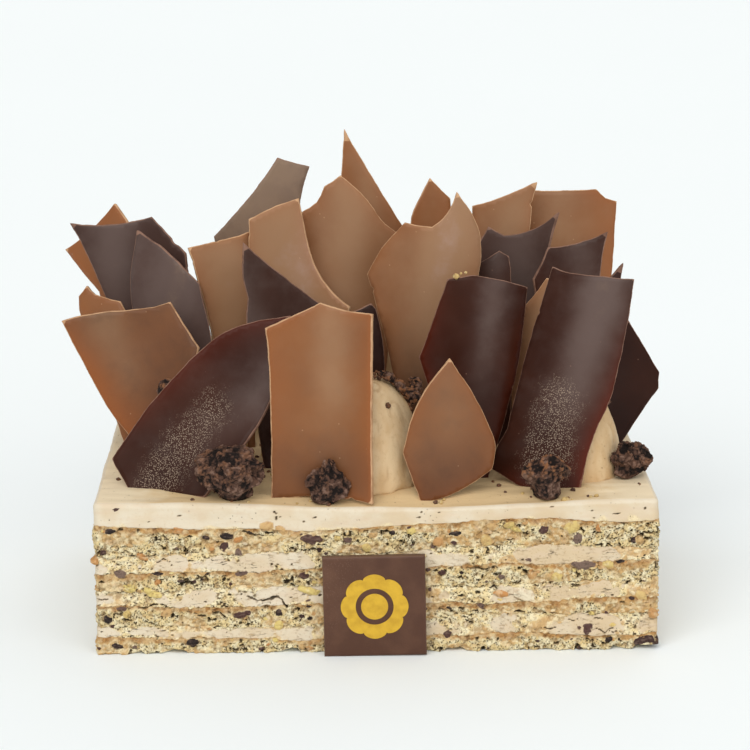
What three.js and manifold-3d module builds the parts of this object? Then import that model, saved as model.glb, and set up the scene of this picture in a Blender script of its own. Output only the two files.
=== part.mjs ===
// A peanut butter cake: nut sponge and cream in turn, piped cream domes on top, thin broken sheets of
// milk and dark chocolate standing among them, lumps of cocoa crumb, and a chocolate plaque at the front.
// Millimetres, +Z up. The origin is the middle of the base, and the front faces -Y.
import * as THREE from "three";
import { mergeVertices } from "three/addons/utils/BufferGeometryUtils.js";
import Module from "manifold-3d";

const wasm = await Module();
wasm.setup();

// Driving dimensions
const cake = { width: 200, depth: 130, height: 56, corner: 2.5, slant: 6 }; // slant: of the right side
const columns = { along: 24, across: 14 }; // facets on a long and on a short side
const gap = 0.3; // clear space between pieces that touch
const seamGap = 0.1; // clear space between two layers

// The seams between layers from the bottom up, each with its height at five even places
const seams = [
  [6.2, 5.2, 5.5, 6.4, 6.2],
  [10.2, 10.1, 11.6, 14.4, 13.8],
  [17.6, 17.8, 17.8, 18.4, 19.6],
  [23.8, 24.4, 25.2, 24.6, 26.7],
  [30.9, 30.3, 31.7, 32.2, 33.4],
  [36.0, 37.4, 37.6, 39.5, 38.6],
  [47.4, 45.9, 46.4, 49.2, 48.8],
];
// Slow waves of a seam: their height and their lengths
const roll = { height: 0.4, along: 17, across: 13, skew: 9 };
// How far crags and nuts stand out of a cut side, and the shares of a layer's height where they do
const relief = { sponge: 0.9, cream: 0.25, lump: 0.16 };
const rows = { sponge: [0, 0.34, 0.68, 1], cream: [0, 0.5, 1], top: [0, 0.5] };
const softEdge = { drop: 1.6, inset: 1.1, flat: 4 }; // the rounded top edge of the cream
const sag = { deep: 2.4, middle: 8, half: 95, reach: 14 }; // how the cream droops along its front edge

// round and tip are the powers that shape the swollen side and the rounded tip
const dome = { radius: 17, height: 36, foot: 0.92, round: 0.75, tip: 1.15, rings: 7, sides: 14 };
// Where the domes stand, and how far each one differs from the common size
const domes = [
  { at: [-66, -27], width: 1, rise: 0.98 },
  { at: [-3, -36], width: 1.2, rise: 1.1 },
  { at: [72, -28], width: 1.03, rise: 0.95 },
  { at: [-64, 8], width: 0.98, rise: 0.9 },
  { at: [-6, 3], width: 0.96, rise: 0.78 },
  { at: [70, 8], width: 1, rise: 0.92 },
  { at: [-67, 43], width: 1.02, rise: 0.97 },
  { at: [3, 42], width: 0.97, rise: 0.94 },
  { at: [68, 43], width: 1.03, rise: 1 },
];

// Chocolate thickness, facets across a bend and along a bowed edge, and the most that a sheet curls
const sheet = { milk: 1.8, dark: 1.6, facets: 8, edgeFacets: 4, curl: 1.3 };
const slot = { grow: 1.03, spare: 2.4 * gap }; // the room that a sheet has in what it is stuck into
const margin = 4; // how far the sheet reaches past an outline before it is broken
// stand: clear of the rough front, shift: off the middle, turn: degrees off level
const plaque = { width: 36.4, height: 37, thickness: 3, stand: 1.8, shift: -0.9, turn: 0.65 };

// Broken chocolate sheets. at is a point of the sheet, turn its facing about Z, lean how far its top
// goes back. bend is the radius it curls to, bulging to the front when positive, about an axis at grain
// degrees to upright. A corner of the outline is [u, v] in the sheet's plane, and a third number bows
// the edge that follows outwards.
const shards = {
  milk_panel: {
    at: [-19, -57, 56], turn: -8, lean: 6, bend: -50, grain: 0,
    outline: [[-18, -1.5, -1.2], [18.5, -1.5], [18, 66], [8, 66.5], [-1, 69], [-20, 60], [-18.5, 42]],
  },
  dark_sweep: {
    at: [-70, -51, 56], turn: -18, lean: 25, bend: -70, grain: 41,
    outline: [
      [-26.6, 9.6, 0.6], [-18.9, -1], [10.6, -1.5], [24.1, 20.1], [29.7, 32.3], [33.8, 50.5],
      [33.3, 66.4, 1.4], [8, 57.4, 2.8],
    ],
  },
  milk_leaf: {
    at: [23, -58, 55], turn: 8, lean: 5, bend: 90, grain: 0,
    outline: [[-7, -1], [-3.5, -1, 1.5], [18.5, 9.5, 0.6], [20, 19, 1.5], [4, 50, 3.5], [-13, 17, 0.5]],
  },
  dark_tall: {
    at: [60, -50, 54], turn: -15, lean: 15, bend: 42, grain: 12,
    outline: [
      [-20.5, 7.5], [-6, 0], [5, -1.5], [12, -1.5], [15, 19.5], [21.5, 34, 0.4], [27, 70], [27.5, 78],
      [8, 79, -0.6], [-2, 81, 0.6], [-14, 30], [-15, 22], [-19, 15.5],
    ],
  },
  dark_wall: {
    at: [36, -36, 59], turn: 5, lean: 10, bend: 48, grain: 0,
    outline: [[-8, -5], [4, -5], [13.5, 25, 1], [20.5, 65, 0.6], [0, 70.5], [-8.5, 69], [-19, 41]],
  },
  milk_strip: {
    at: [56, -24, 63], turn: -25, lean: 12, bend: 70, grain: 0,
    outline: [[-6, -9], [12, -9], [19, 38], [16, 60], [1.5, 62.5], [-6, 52], [-9.5, 16]],
  },
  dark_right: {
    at: [87, -14, 60], turn: 12, lean: 10, bend: 120, grain: 30,
    outline: [[-8.5, -6], [-2.5, -6], [18.5, 21], [19, 27], [8, 47], [-5, 37]],
  },
  milk_left: {
    at: [-87, -14, 63], turn: -15, lean: 15, bend: -70, grain: 20,
    outline: [
      [4, -9], [11, -9], [20, 18], [21.5, 37], [9, 53], [1, 50.5], [-20, 47.5], [-29.5, 43.8, 0.4],
      [-14.7, 15.6, 0.5], [-3.3, 2.7],
    ],
  },
  dark_behind: {
    at: [-5, -10, 63], turn: 8, lean: 6, bend: 80, grain: 0,
    outline: [[-6, -9], [6, -9], [8.5, 15], [10.2, 31.5], [8, 40.6], [6.2, 48.5], [4.5, 50.5], [-7, 46]],
  },
  milk_tall: {
    at: [15, -6, 62], turn: -5, lean: 8, bend: 48, grain: 5,
    outline: [
      [-4, -8], [9, -8], [18, 37], [23, 62, 4], [14.5, 91.5, -1.5], [5.5, 78.5], [-4.5, 80, 1.5],
      [-18.5, 60.5], [-8.5, 26],
    ],
  },
  milk_back: {
    at: [-10, 18, 61], turn: 5, lean: 8, bend: 60, grain: 10,
    outline: [
      [-7, -7], [10.5, -7], [19, 47], [19.5, 72], [14, 76.5, 1.5], [-1, 94], [-7, 90], [-10, 84],
      [-15.5, 80.5], [-15, 48],
    ],
  },
  milk_fold: {
    at: [-26, 8, 60], turn: -10, lean: 8, bend: -70, grain: 15,
    outline: [
      [-6, -6], [11.5, -6], [16.5, 49, -2], [1, 66.5], [-4, 88.5], [-13.5, 85.5], [-22, 80.5],
      [-22.5, 65], [-17, 39],
    ],
  },
  dark_triangle: {
    at: [-33, -12, 62], turn: 5, lean: 8, bend: -90, grain: 60,
    outline: [[-8.5, -8], [9, -8], [19, 35], [13.5, 52], [-14, 75.5], [-15, 63], [-12.5, 55], [-14, 47]],
  },
  milk_slab: {
    at: [-53, 4, 59], turn: 25, lean: 10, bend: 90, grain: 0,
    outline: [[-3, -5], [8, -5], [16, 51], [14, 77], [-11, 73.5], [-7, 53], [-4.5, 37]],
  },
  grey_leaf: {
    at: [-69, -4, 60], turn: -18, lean: 10, bend: 60, grain: 10,
    outline: [[-6, -6], [9, -6], [7.5, 39], [1, 60, 1.9], [-25.4, 78], [-27.3, 64, 0.6], [-26, 49]],
  },
  dark_left: {
    at: [-81, 15, 59], turn: -20, lean: 10, bend: -55, grain: 15,
    outline: [[-6, -5], [12, -5], [10.5, 55], [7.2, 68.6], [-7, 81.3, -1.5], [-34.5, 77.5], [-21, 45.5]],
  },
  milk_sliver: {
    at: [-92, 4, 60], turn: -18, lean: 14, bend: 90, grain: 0,
    outline: [[0, -6], [7, -6], [2, 38], [-7, 51], [-17.5, 53], [-21, 56], [-24, 52], [-23.5, 45]],
  },
  milk_far_left: {
    at: [-88, 30, 58], turn: -25, lean: 12, bend: 80, grain: 20,
    outline: [
      [-5, -5], [7.5, -5], [2.5, 48], [-13, 76.5], [-21, 83], [-31, 71.5], [-43.5, 63.5], [-24, 49],
    ],
  },
  dark_far: {
    at: [-44, 42, 58], turn: -8, lean: 6, bend: 60, grain: -15,
    outline: [
      [-8, -5], [8, -5], [12, 45], [14.5, 80, -0.5], [17.5, 96], [6, 99.5, -1], [-18.5, 69],
      [-15.5, 44],
    ],
  },
  milk_spike: {
    at: [1, 46, 57], turn: 4, lean: 6, bend: 80, grain: 0,
    outline: [[-9, -5], [8, -5], [12.5, 45], [10.5, 73], [-11, 110.5], [-13, 91], [-13, 45]],
  },
  milk_chip: {
    at: [22, 40, 56], turn: 8, lean: 6, bend: 50, grain: 0,
    outline: [[-6.5, -4], [6, -4], [11, 46], [8.5, 85.5], [1, 93.5], [-4.5, 84], [-7.5, 76], [-9, 47]],
  },
  milk_fan: {
    at: [49, 38, 57], turn: -6, lean: 8, bend: 60, grain: 10,
    outline: [
      [-7.5, -4], [7, -4], [9, 46], [9.5, 78.5], [12, 91], [10, 90.5, -0.5], [-12.5, 81.5], [-12.5, 46],
    ],
  },
  milk_far_right: {
    at: [76, 48, 55], turn: 8, lean: 8, bend: 70, grain: 0,
    outline: [
      [-9.5, -3], [8, -3], [13.5, 33], [17.5, 55], [19.5, 82.5], [15, 84], [11.5, 87.5], [-15, 88],
      [-16, 45],
    ],
  },
  dark_ridge: {
    at: [50, 22, 57], turn: -12, lean: 8, bend: -50, grain: 0,
    outline: [
      [-7.5, -4], [7.5, -4], [11, 54], [17.9, 83.5, -2], [-3, 73.8], [-9, 77], [-13, 69.5], [-13.5, 49],
    ],
  },
  dark_slip: {
    at: [44, 8, 57], turn: -4, lean: 6, bend: 80, grain: 0,
    outline: [[-6.5, -4], [6, -4], [8, 53], [5.5, 69.5], [2, 71.5], [-6, 66.5]],
  },
  dark_lip: {
    at: [73, 6, 58], turn: 4, lean: 8, bend: -50, grain: 0,
    outline: [[-8, -5], [7, -5], [10, 41], [12, 64], [14.5, 77.3, -1.3], [-7.7, 72], [-13.5, 60.5]],
  },
  dark_edge: {
    at: [87, 20, 55], turn: 10, lean: 6, bend: 60, grain: 0,
    outline: [[-5.5, -3], [5, -3], [4.5, 40], [8, 65.5], [2.5, 60], [-2, 40]],
  },
};

// Lumps of cocoa crumb, each of torn balls that hang together: middle, and size along X, Y and Z
const crumbs = [
  [{ at: [-51.8, -59, 66.3], size: [23.5, 17, 16.5] }, { at: [-51.2, -58.5, 60], size: [16, 12, 11] }],
  [{ at: [-16.8, -60.5, 60.6], size: [15.4, 9.5, 14] }, { at: [-16.4, -60, 67.6], size: [6.5, 6, 6] }],
  [{ at: [60.2, -60, 65.3], size: [17, 12.5, 11.5] }, { at: [60.5, -60, 59.2], size: [11.5, 10, 10] }],
  [{ at: [92, -38, 63.2], size: [14, 12.5, 12.5] }, { at: [90.5, -38.5, 59.5], size: [10, 9, 8] }],
  [
    { at: [12, -34, 86.5], size: [10, 9, 8] },
    { at: [7.5, -38, 90.5], size: [9, 7, 6] },
    { at: [3.3, -39.5, 94], size: [7, 6, 6] },
    { at: [14.2, -29, 89], size: [7, 8, 8] },
  ],
  [{ at: [-76, -27, 87.8], size: [5.5, 5.5, 6.5] }],
  [{ at: [-60, 59, 62], size: [15, 11, 14] }],
  [{ at: [34, 59, 63], size: [17, 11, 15] }],
];
const crumbDetail = { fine: 2, plain: 1, from: 12 }; // facets of the first ball of a lump, from this size on

const finish = (color, roughness) => new THREE.MeshStandardMaterial({ color, roughness, metalness: 0 });
const materials = {
  sponge: finish(0xd9c08f, 0.95),
  cream: finish(0xdcc4a2, 0.6),
  milk: finish(0x8c5f42, 0.4),
  dark: finish(0x3a211c, 0.32),
  crumb: finish(0x2f1f1b, 0.95),
  plaque: finish(0x4a342d, 0.45),
};

const group = new THREE.Group();

function addMesh(name, geometry, material) {
  const mesh = new THREE.Mesh(geometry, material);
  mesh.name = name;
  group.add(mesh);
  return mesh;
}

// A repeatable number from -1 to 1 for a pair of whole numbers
function scatter(a, b) {
  const s = Math.sin(a * 127.1 + b * 311.7) * 43758.5453;
  return 2 * (s - Math.floor(s)) - 1;
}

function solidOf(geometry) {
  const bare = geometry.clone();
  bare.deleteAttribute("normal");
  bare.deleteAttribute("uv");
  const merged = mergeVertices(bare, 1e-4);
  const vertProperties = new Float32Array(merged.attributes.position.array);
  const triVerts = new Uint32Array(merged.index.array);
  return new wasm.Manifold(new wasm.Mesh({ numProp: 3, vertProperties, triVerts }));
}

function geometryOf(solid) {
  const mesh = solid.getMesh();
  const geometry = new THREE.BufferGeometry();
  geometry.setAttribute("position", new THREE.BufferAttribute(mesh.vertProperties, 3));
  geometry.setIndex(new THREE.BufferAttribute(mesh.triVerts, 1));
  geometry.computeVertexNormals();
  return geometry;
}

// What is left of a solid after the cutters that reach it, without loose scraps
function cutBy(solid, cutters) {
  let left = solid;
  for (const cutter of cutters) left = left.subtract(cutter);
  return left.decompose().reduce((most, piece) => (piece.volume() > most.volume() ? piece : most));
}

// How far a point of the plan moves in, as the right side runs in towards the back
function runIn(x, y) {
  return cake.slant * Math.max(0, (2 * x) / cake.width) * (y / cake.depth + 0.5);
}

// Points around the cake's plan, anticlockwise, each with its outward direction
function planRing() {
  const x = cake.width / 2;
  const y = cake.depth / 2;
  const c = cake.corner;
  const sides = [
    { from: [-x + c, -y], to: [x - c, -y], out: [0, -1], count: columns.along },
    { from: [x, -y + c], to: [x, y - c], out: [1, 0], count: columns.across },
    { from: [x - c, y], to: [-x + c, y], out: [0, 1], count: columns.along },
    { from: [-x, y - c], to: [-x, -y + c], out: [-1, 0], count: columns.across },
  ];
  return sides.flatMap(({ from, to, out, count }) =>
    Array.from({ length: count + 1 }, (_, i) => {
      const t = i / count;
      const px = from[0] + (to[0] - from[0]) * t;
      const py = from[1] + (to[1] - from[1]) * t;
      return { x: px - runIn(px, py), y: py, out };
    }),
  );
}

// Height of a seam above a point of the plan: the base and the top are flat, the seams between roll
function seamHeight(index, x, y) {
  if (index < 0) return 0;
  if (index >= seams.length) return cake.height;
  const heights = seams[index];
  const place = (x / cake.width + 0.5) * (heights.length - 1);
  const from = THREE.MathUtils.clamp(Math.floor(place), 0, heights.length - 2);
  const share = THREE.MathUtils.smoothstep(place - from, 0, 1);
  const wave = Math.sin(x / roll.along + index) + Math.sin(y / roll.across + x / roll.skew + 2 * index);
  return THREE.MathUtils.lerp(heights[from], heights[from + 1], share) + roll.height * wave;
}

// A closed solid through rings of equal length, from the lowest ring to the highest, with a middle
// point at each end
function solidOfRings(rings, low, high) {
  const n = rings[0].length;
  const points = [...rings.flat(), low, high];
  const lowIndex = rings.length * n;
  const index = [];
  for (let i = 0; i < n; i++) {
    const j = (i + 1) % n;
    const last = (rings.length - 1) * n;
    index.push(lowIndex, j, i, lowIndex + 1, last + i, last + j);
    for (let r = 0; r < rings.length - 1; r++) {
      const a = r * n;
      const b = a + n;
      index.push(a + i, a + j, b + j, a + i, b + j, b + i);
    }
  }
  const geometry = new THREE.BufferGeometry();
  geometry.setAttribute("position", new THREE.Float32BufferAttribute(points.flat(), 3));
  geometry.setIndex(index);
  geometry.computeVertexNormals();
  return geometry;
}

// One layer of the block, between two seams. share runs from 0 at the lower seam to 1 at the upper.
function layerGeometry(index, shares, reach) {
  const ring = planRing();
  const low = (x, y) => seamHeight(index - 1, x, y) + (index > 0 ? seamGap / 2 : 0);
  const high = (x, y) => seamHeight(index, x, y) - (index < seams.length ? seamGap / 2 : 0);
  const rings = shares.map((share, row) =>
    ring.map(({ x, y, out }, i) => {
      const stand = share > 0 && share < 1 ? reach * scatter(i + 1, row + 10 * index) : 0;
      const z = low(x, y) + (high(x, y) - low(x, y)) * share;
      return [x + out[0] * stand, y + out[1] * stand, z];
    }),
  );
  return { rings, low: [0, 0, low(0, 0)], high: [0, 0, high(0, 0)], ring };
}

function spongeLayer(index) {
  const { rings, low, high } = layerGeometry(index, rows.sponge, relief.sponge);
  return solidOfRings(rings, low, high);
}

function creamLayer(index) {
  const { rings, low, high } = layerGeometry(index, rows.cream, relief.cream);
  return solidOfRings(rings, low, high);
}

// How far the top has sunk at a point of the plan, most at the middle of the front edge
function droop(x, y) {
  const along = THREE.MathUtils.clamp((x - sag.middle) / sag.half, -1, 1);
  const back = THREE.MathUtils.smoothstep(y + cake.depth / 2, 0, sag.reach);
  return sag.deep * Math.cos((along * Math.PI) / 2) ** 2 * (1 - back);
}

// The top cream has a soft edge round its top
function topCream(index) {
  const made = layerGeometry(index, rows.top, relief.cream);
  const step = (inwards, lower) =>
    made.ring.map(({ x, y }) => {
      const px = x * (1 - (2 * inwards) / cake.width);
      const py = y * (1 - (2 * inwards) / cake.depth);
      return [px, py, cake.height - lower - droop(px, py)];
    });
  const { drop, inset, flat } = softEdge;
  const rings = [...made.rings, step(0, drop), step(inset, drop / 4), step(flat, 0), step(sag.reach, 0)];
  return solidOfRings(rings, made.low, [0, 0, cake.height]);
}

// A sheet that curls about its upright, standing in the XZ plane, with its middle at the origin
function bentSheet({ bend, grain }, thickness, reach) {
  const radius = Math.abs(bend);
  const spread = Math.min(reach / radius, sheet.curl);
  const up = Math.PI / 2;
  const section = new THREE.Shape();
  section.absarc(0, -radius, radius + thickness / 2, up + spread, up - spread, true);
  section.absarc(0, -radius, radius - thickness / 2, up - spread, up + spread, false);
  const geometry = new THREE.ExtrudeGeometry(section, {
    depth: 2 * reach,
    curveSegments: sheet.facets,
    bevelEnabled: false,
  });
  geometry.translate(0, 0, -reach);
  if (bend > 0) geometry.rotateZ(Math.PI);
  return geometry.rotateY(THREE.MathUtils.degToRad(grain));
}

// The outline as a shape, grown about its middle by a factor
function brokenOutline(corners, grow) {
  const middle = [0, 1].map((k) => corners.reduce((sum, corner) => sum + corner[k], 0) / corners.length);
  const grown = corners.map(([u, v, bow = 0]) => [
    middle[0] + (u - middle[0]) * grow,
    middle[1] + (v - middle[1]) * grow,
    bow,
  ]);
  const shape = new THREE.Shape();
  shape.moveTo(grown[0][0], grown[0][1]);
  grown.forEach(([u, v, bow], i) => {
    const [nextU, nextV] = grown[(i + 1) % grown.length];
    const length = Math.hypot(nextU - u, nextV - v);
    const outU = (nextV - v) / length;
    const outV = (u - nextU) / length;
    if (bow) {
      const pullU = (u + nextU) / 2 + 2 * bow * outU;
      const pullV = (v + nextV) / 2 + 2 * bow * outV;
      shape.quadraticCurveTo(pullU, pullV, nextU, nextV);
    } else {
      shape.lineTo(nextU, nextV);
    }
  });
  return { shape, middle };
}

// A piece broken out of a bent sheet: the sheet where the outline, pushed through it, meets it
function brokenPiece(spec, thickness, grow) {
  const { shape, middle } = brokenOutline(spec.outline, grow);
  const distances = spec.outline.map(([u, v]) => Math.hypot(u - middle[0], v - middle[1]));
  const reach = Math.max(...distances) + margin;
  const prism = new THREE.ExtrudeGeometry(shape, {
    depth: 2 * reach,
    curveSegments: sheet.edgeFacets,
    bevelEnabled: false,
  });
  prism.translate(0, 0, -reach).rotateX(Math.PI / 2);
  const curl = bentSheet(spec, thickness, reach).translate(middle[0], 0, middle[1]);
  return solidOf(curl).intersect(solidOf(prism));
}

function standSheet(mesh, { at, turn, lean }) {
  mesh.position.set(...at);
  mesh.rotation.order = "ZXY";
  mesh.rotation.set(THREE.MathUtils.degToRad(-lean), 0, THREE.MathUtils.degToRad(turn));
  mesh.updateMatrix();
}

// A piped dome: swollen just above its foot, round at the tip
function domeSolid({ at, width, rise }, grow) {
  const radius = dome.radius * width + grow;
  const height = dome.height * rise + grow;
  const profile = [new THREE.Vector2(0, 0), new THREE.Vector2(radius * dome.foot, 0)];
  for (let i = 1; i < dome.rings; i++) {
    const a = ((i / dome.rings) * Math.PI) / 2;
    profile.push(new THREE.Vector2(radius * Math.cos(a) ** dome.round, height * Math.sin(a) ** dome.tip));
  }
  profile.push(new THREE.Vector2(0, height));
  const geometry = new THREE.LatheGeometry(profile, dome.sides).rotateX(Math.PI / 2);
  return solidOf(geometry.translate(...at, cake.height + gap));
}

// A ball of facets pushed in and out
function tornBall({ at, size }, detail, seed) {
  const ball = new THREE.IcosahedronGeometry(0.5, detail);
  ball.deleteAttribute("normal");
  ball.deleteAttribute("uv");
  const lump = mergeVertices(ball, 1e-4);
  const position = lump.attributes.position;
  for (let i = 0; i < position.count; i++) {
    const swell = 1 + relief.lump * scatter(i + 1, seed);
    position.setXYZ(i, position.getX(i) * swell, position.getY(i) * swell, position.getZ(i) * swell);
  }
  return solidOf(lump.scale(...size).translate(...at));
}

// A torn lump of balls that hang together
function crumbSolid(balls, seed) {
  const torn = balls.map((ball, i) => {
    const fine = i === 0 && Math.max(...ball.size) >= crumbDetail.from;
    return tornBall(ball, fine ? crumbDetail.fine : crumbDetail.plain, seed + i);
  });
  return torn.reduce((a, b) => a.add(b));
}

// Chocolate sheets, each with a slightly larger copy that makes room for it in what it is stuck into
const cutters = [];
for (const [name, spec] of Object.entries(shards)) {
  const kind = name.startsWith("milk") ? "milk" : "dark";
  const mesh = addMesh(name, geometryOf(brokenPiece(spec, sheet[kind], 1)), materials[kind]);
  standSheet(mesh, spec);
  const room = brokenPiece(spec, sheet[kind] + slot.spare, slot.grow);
  cutters.push(room.transform([...mesh.matrix.elements]));
}

// The block, from the bottom sponge to the top cream
const sponges = ["sponge_1", "sponge_2", "sponge_3", "sponge_4"];
const creams = ["cream_1", "cream_2", "cream_3"];
sponges.forEach((name, i) => addMesh(name, spongeLayer(2 * i), materials.sponge));
creams.forEach((name, i) => addMesh(name, creamLayer(2 * i + 1), materials.cream));
const creamTop = solidOf(topCream(seams.length));
addMesh("cream_top", geometryOf(cutBy(creamTop, cutters)), materials.cream);

// Piped domes in rows, cut where sheets stand in them
const domeCutters = domes.map((spec, i) => {
  addMesh(`dome_${i + 1}`, geometryOf(cutBy(domeSolid(spec, 0), cutters)), materials.cream);
  return domeSolid(spec, 2 * gap);
});

// Lumps of crumb lie on the cream and on the domes, against the sheets
const creamCutter = creamTop.translate([0, 0, gap]);
crumbs.forEach((balls, i) => {
  const solid = cutBy(crumbSolid(balls, i + 1), [creamCutter, ...cutters, ...domeCutters]);
  addMesh(`crumb_${i + 1}`, geometryOf(solid), materials.crumb);
});

// The plaque stands on the table against the front, a little off level, so one corner carries it
const slab = new THREE.BoxGeometry(plaque.width, plaque.thickness, plaque.height);
const plaqueMesh = addMesh("plaque", slab, materials.plaque);
const tilt = THREE.MathUtils.degToRad(plaque.turn);
const plaqueMiddle = (plaque.height * Math.cos(tilt) + plaque.width * Math.sin(tilt)) / 2;
plaqueMesh.position.set(plaque.shift, -cake.depth / 2 - plaque.stand - plaque.thickness / 2, plaqueMiddle);
plaqueMesh.rotation.y = -tilt;

export default group;
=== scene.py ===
import math

import bpy
import numpy as np
from mathutils import Matrix, Vector
from mathutils.bvhtree import BVHTree
from mathutils.geometry import delaunay_2d_cdt


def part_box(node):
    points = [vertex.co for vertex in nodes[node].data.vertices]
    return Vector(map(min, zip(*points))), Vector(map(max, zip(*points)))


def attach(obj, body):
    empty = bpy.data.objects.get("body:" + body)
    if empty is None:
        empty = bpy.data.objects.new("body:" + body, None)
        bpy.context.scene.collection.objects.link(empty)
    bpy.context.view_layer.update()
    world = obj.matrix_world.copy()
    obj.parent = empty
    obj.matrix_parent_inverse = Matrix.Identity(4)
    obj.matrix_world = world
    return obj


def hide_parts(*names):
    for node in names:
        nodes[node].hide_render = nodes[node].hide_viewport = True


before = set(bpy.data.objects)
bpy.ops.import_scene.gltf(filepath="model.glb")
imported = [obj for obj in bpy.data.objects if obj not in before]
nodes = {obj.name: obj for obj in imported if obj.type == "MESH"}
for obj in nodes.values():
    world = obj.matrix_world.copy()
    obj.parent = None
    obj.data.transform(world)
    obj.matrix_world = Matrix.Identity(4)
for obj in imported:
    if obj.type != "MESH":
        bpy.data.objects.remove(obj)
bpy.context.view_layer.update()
scene = bpy.context.scene
mm = 0.001
mergeStep = 0.001 * mm  # points nearer than this are one


def linear(red, green, blue):  # a colour as a screen shows it, 0 to 255, for a shader
    return tuple(((c / 255 + 0.055) / 1.055) ** 2.4 for c in (red, green, blue)) + (1.0,)


def shown(red, green, blue):  # the paint that shows as this colour on the lit front of the cake
    return tuple(0.82 * c for c in linear(red, green, blue)[:3]) + (1.0,)


def smoothStep(low, high, value):
    t = np.clip((value - low) / (high - low), 0, 1)
    return t * t * (3 - 2 * t)


def latticeValue(cell, seed):  # a repeatable 0 to 1 for each whole-number cell
    h = np.sin(cell[..., 0] * 127.1 + cell[..., 1] * 311.7 + cell[..., 2] * 74.7 + seed * 53.3) * 43758.5453
    return h - np.floor(h)


def valueNoise(points, size, seed):  # smooth, 0 to 1
    p = points / size
    cell = np.floor(p)
    f = p - cell
    f = f * f * (3 - 2 * f)
    total = np.zeros(p.shape[:-1])
    for corner in np.ndindex(2, 2, 2):
        weight = np.prod(np.where(corner, f, 1 - f), axis=-1)
        total += weight * latticeValue(cell + corner, seed)
    return total


def layeredNoise(points, size, seed, octaves=3):  # about -1 to 1
    total = np.zeros(points.shape[:-1])
    reach = 0
    for k in range(octaves):
        total += (2 * valueNoise(points, size / 2**k, seed + 7 * k) - 1) / 2**k
        reach += 1 / 2**k
    return total / reach


# a random spot in each cell: distances to the nearest and the next, in cells, and the nearest's own 0 to 1
def cellParts(points, size, seed):
    p = points / size
    cell = np.floor(p)
    best, further = np.full(p.shape[:-1], 9.0), np.full(p.shape[:-1], 9.0)
    own = np.zeros(p.shape[:-1])
    for step in np.ndindex(3, 3, 3):
        near = cell + np.array(step) - 1
        spot = near + np.stack([latticeValue(near, seed + k) for k in (1, 2, 3)], -1)
        away = np.linalg.norm(p - spot, axis=-1)
        own = np.where(away < best, latticeValue(near, seed + 4), own)
        further = np.minimum(further, np.maximum(best, away))
        best = np.minimum(best, away)
    return best, further, own


def warped(points, size, amount, seed):  # points that have drifted a little, so that cells are uneven
    drift = np.stack([layeredNoise(points, size, seed + k, 2) for k in range(3)], -1)
    return points + amount * drift


def mergedMesh(node):  # a node's points and triangles with its doubles merged
    mesh = node.data
    points = np.empty(len(mesh.vertices) * 3)
    mesh.vertices.foreach_get("co", points)
    mesh.calc_loop_triangles()
    corners = np.empty(len(mesh.loop_triangles) * 3, int)
    mesh.loop_triangles.foreach_get("vertices", corners)
    unique, place = np.unique(np.round(points.reshape(-1, 3) / mergeStep), axis=0, return_inverse=True)
    triangles = place.reshape(-1)[corners].reshape(-1, 3)
    whole = np.all(triangles != np.roll(triangles, 1, axis=1), axis=1)
    return unique * mergeStep, triangles[whole]


def solidTree(name):  # a CAD node's faces, to be hit by rays
    points, triangles = mergedMesh(nodes[name])
    return BVHTree.FromPolygons(points.tolist(), triangles.tolist())


def makePiece(name, points, faces, material, slot, replaced=(), masks=None):
    mesh = bpy.data.meshes.new(name)
    mesh.from_pydata(points, [], faces)
    addMasks(mesh, masks or {})
    return addPiece(name, mesh, material, replaced)


def addMasks(mesh, masks):  # a value at each point, for the materials
    for maskName, values in masks.items():
        mask = mesh.attributes.new(maskName, "FLOAT", "POINT")
        mask.data.foreach_set("value", np.asarray(values, np.float32).reshape(-1))


def addPiece(name, mesh, material, replaced=()):
    mesh.polygons.foreach_set("use_smooth", np.ones(len(mesh.polygons), bool))
    mesh.materials.clear()
    mesh.materials.append(material)
    piece = bpy.data.objects.new(name, mesh)
    scene.collection.objects.link(piece)
    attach(piece, "root")
    if replaced:
        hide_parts(*replaced)
    return piece


class Wire:  # a shader socket that takes part in Python sums
    def __init__(self, shade, socket):
        self.shade = shade
        self.socket = socket

    def maths(self, operation, left, right):
        return self.shade.node("ShaderNodeMath", {"operation": operation}, {0: left, 1: right})

    def __add__(self, other):
        return self.maths("ADD", self, other)

    def __sub__(self, other):
        return self.maths("SUBTRACT", self, other)

    def __rsub__(self, other):
        return self.maths("SUBTRACT", other, self)

    def __mul__(self, other):
        return self.maths("MULTIPLY", self, other)

    __radd__ = __add__
    __rmul__ = __mul__

    def between(self, low, high):  # 0 below low, 1 above high, smooth in between
        sockets = {"Value": self, "From Min": low, "From Max": high}
        return self.shade.node("ShaderNodeMapRange", {"interpolation_type": "SMOOTHSTEP"}, sockets)


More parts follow.
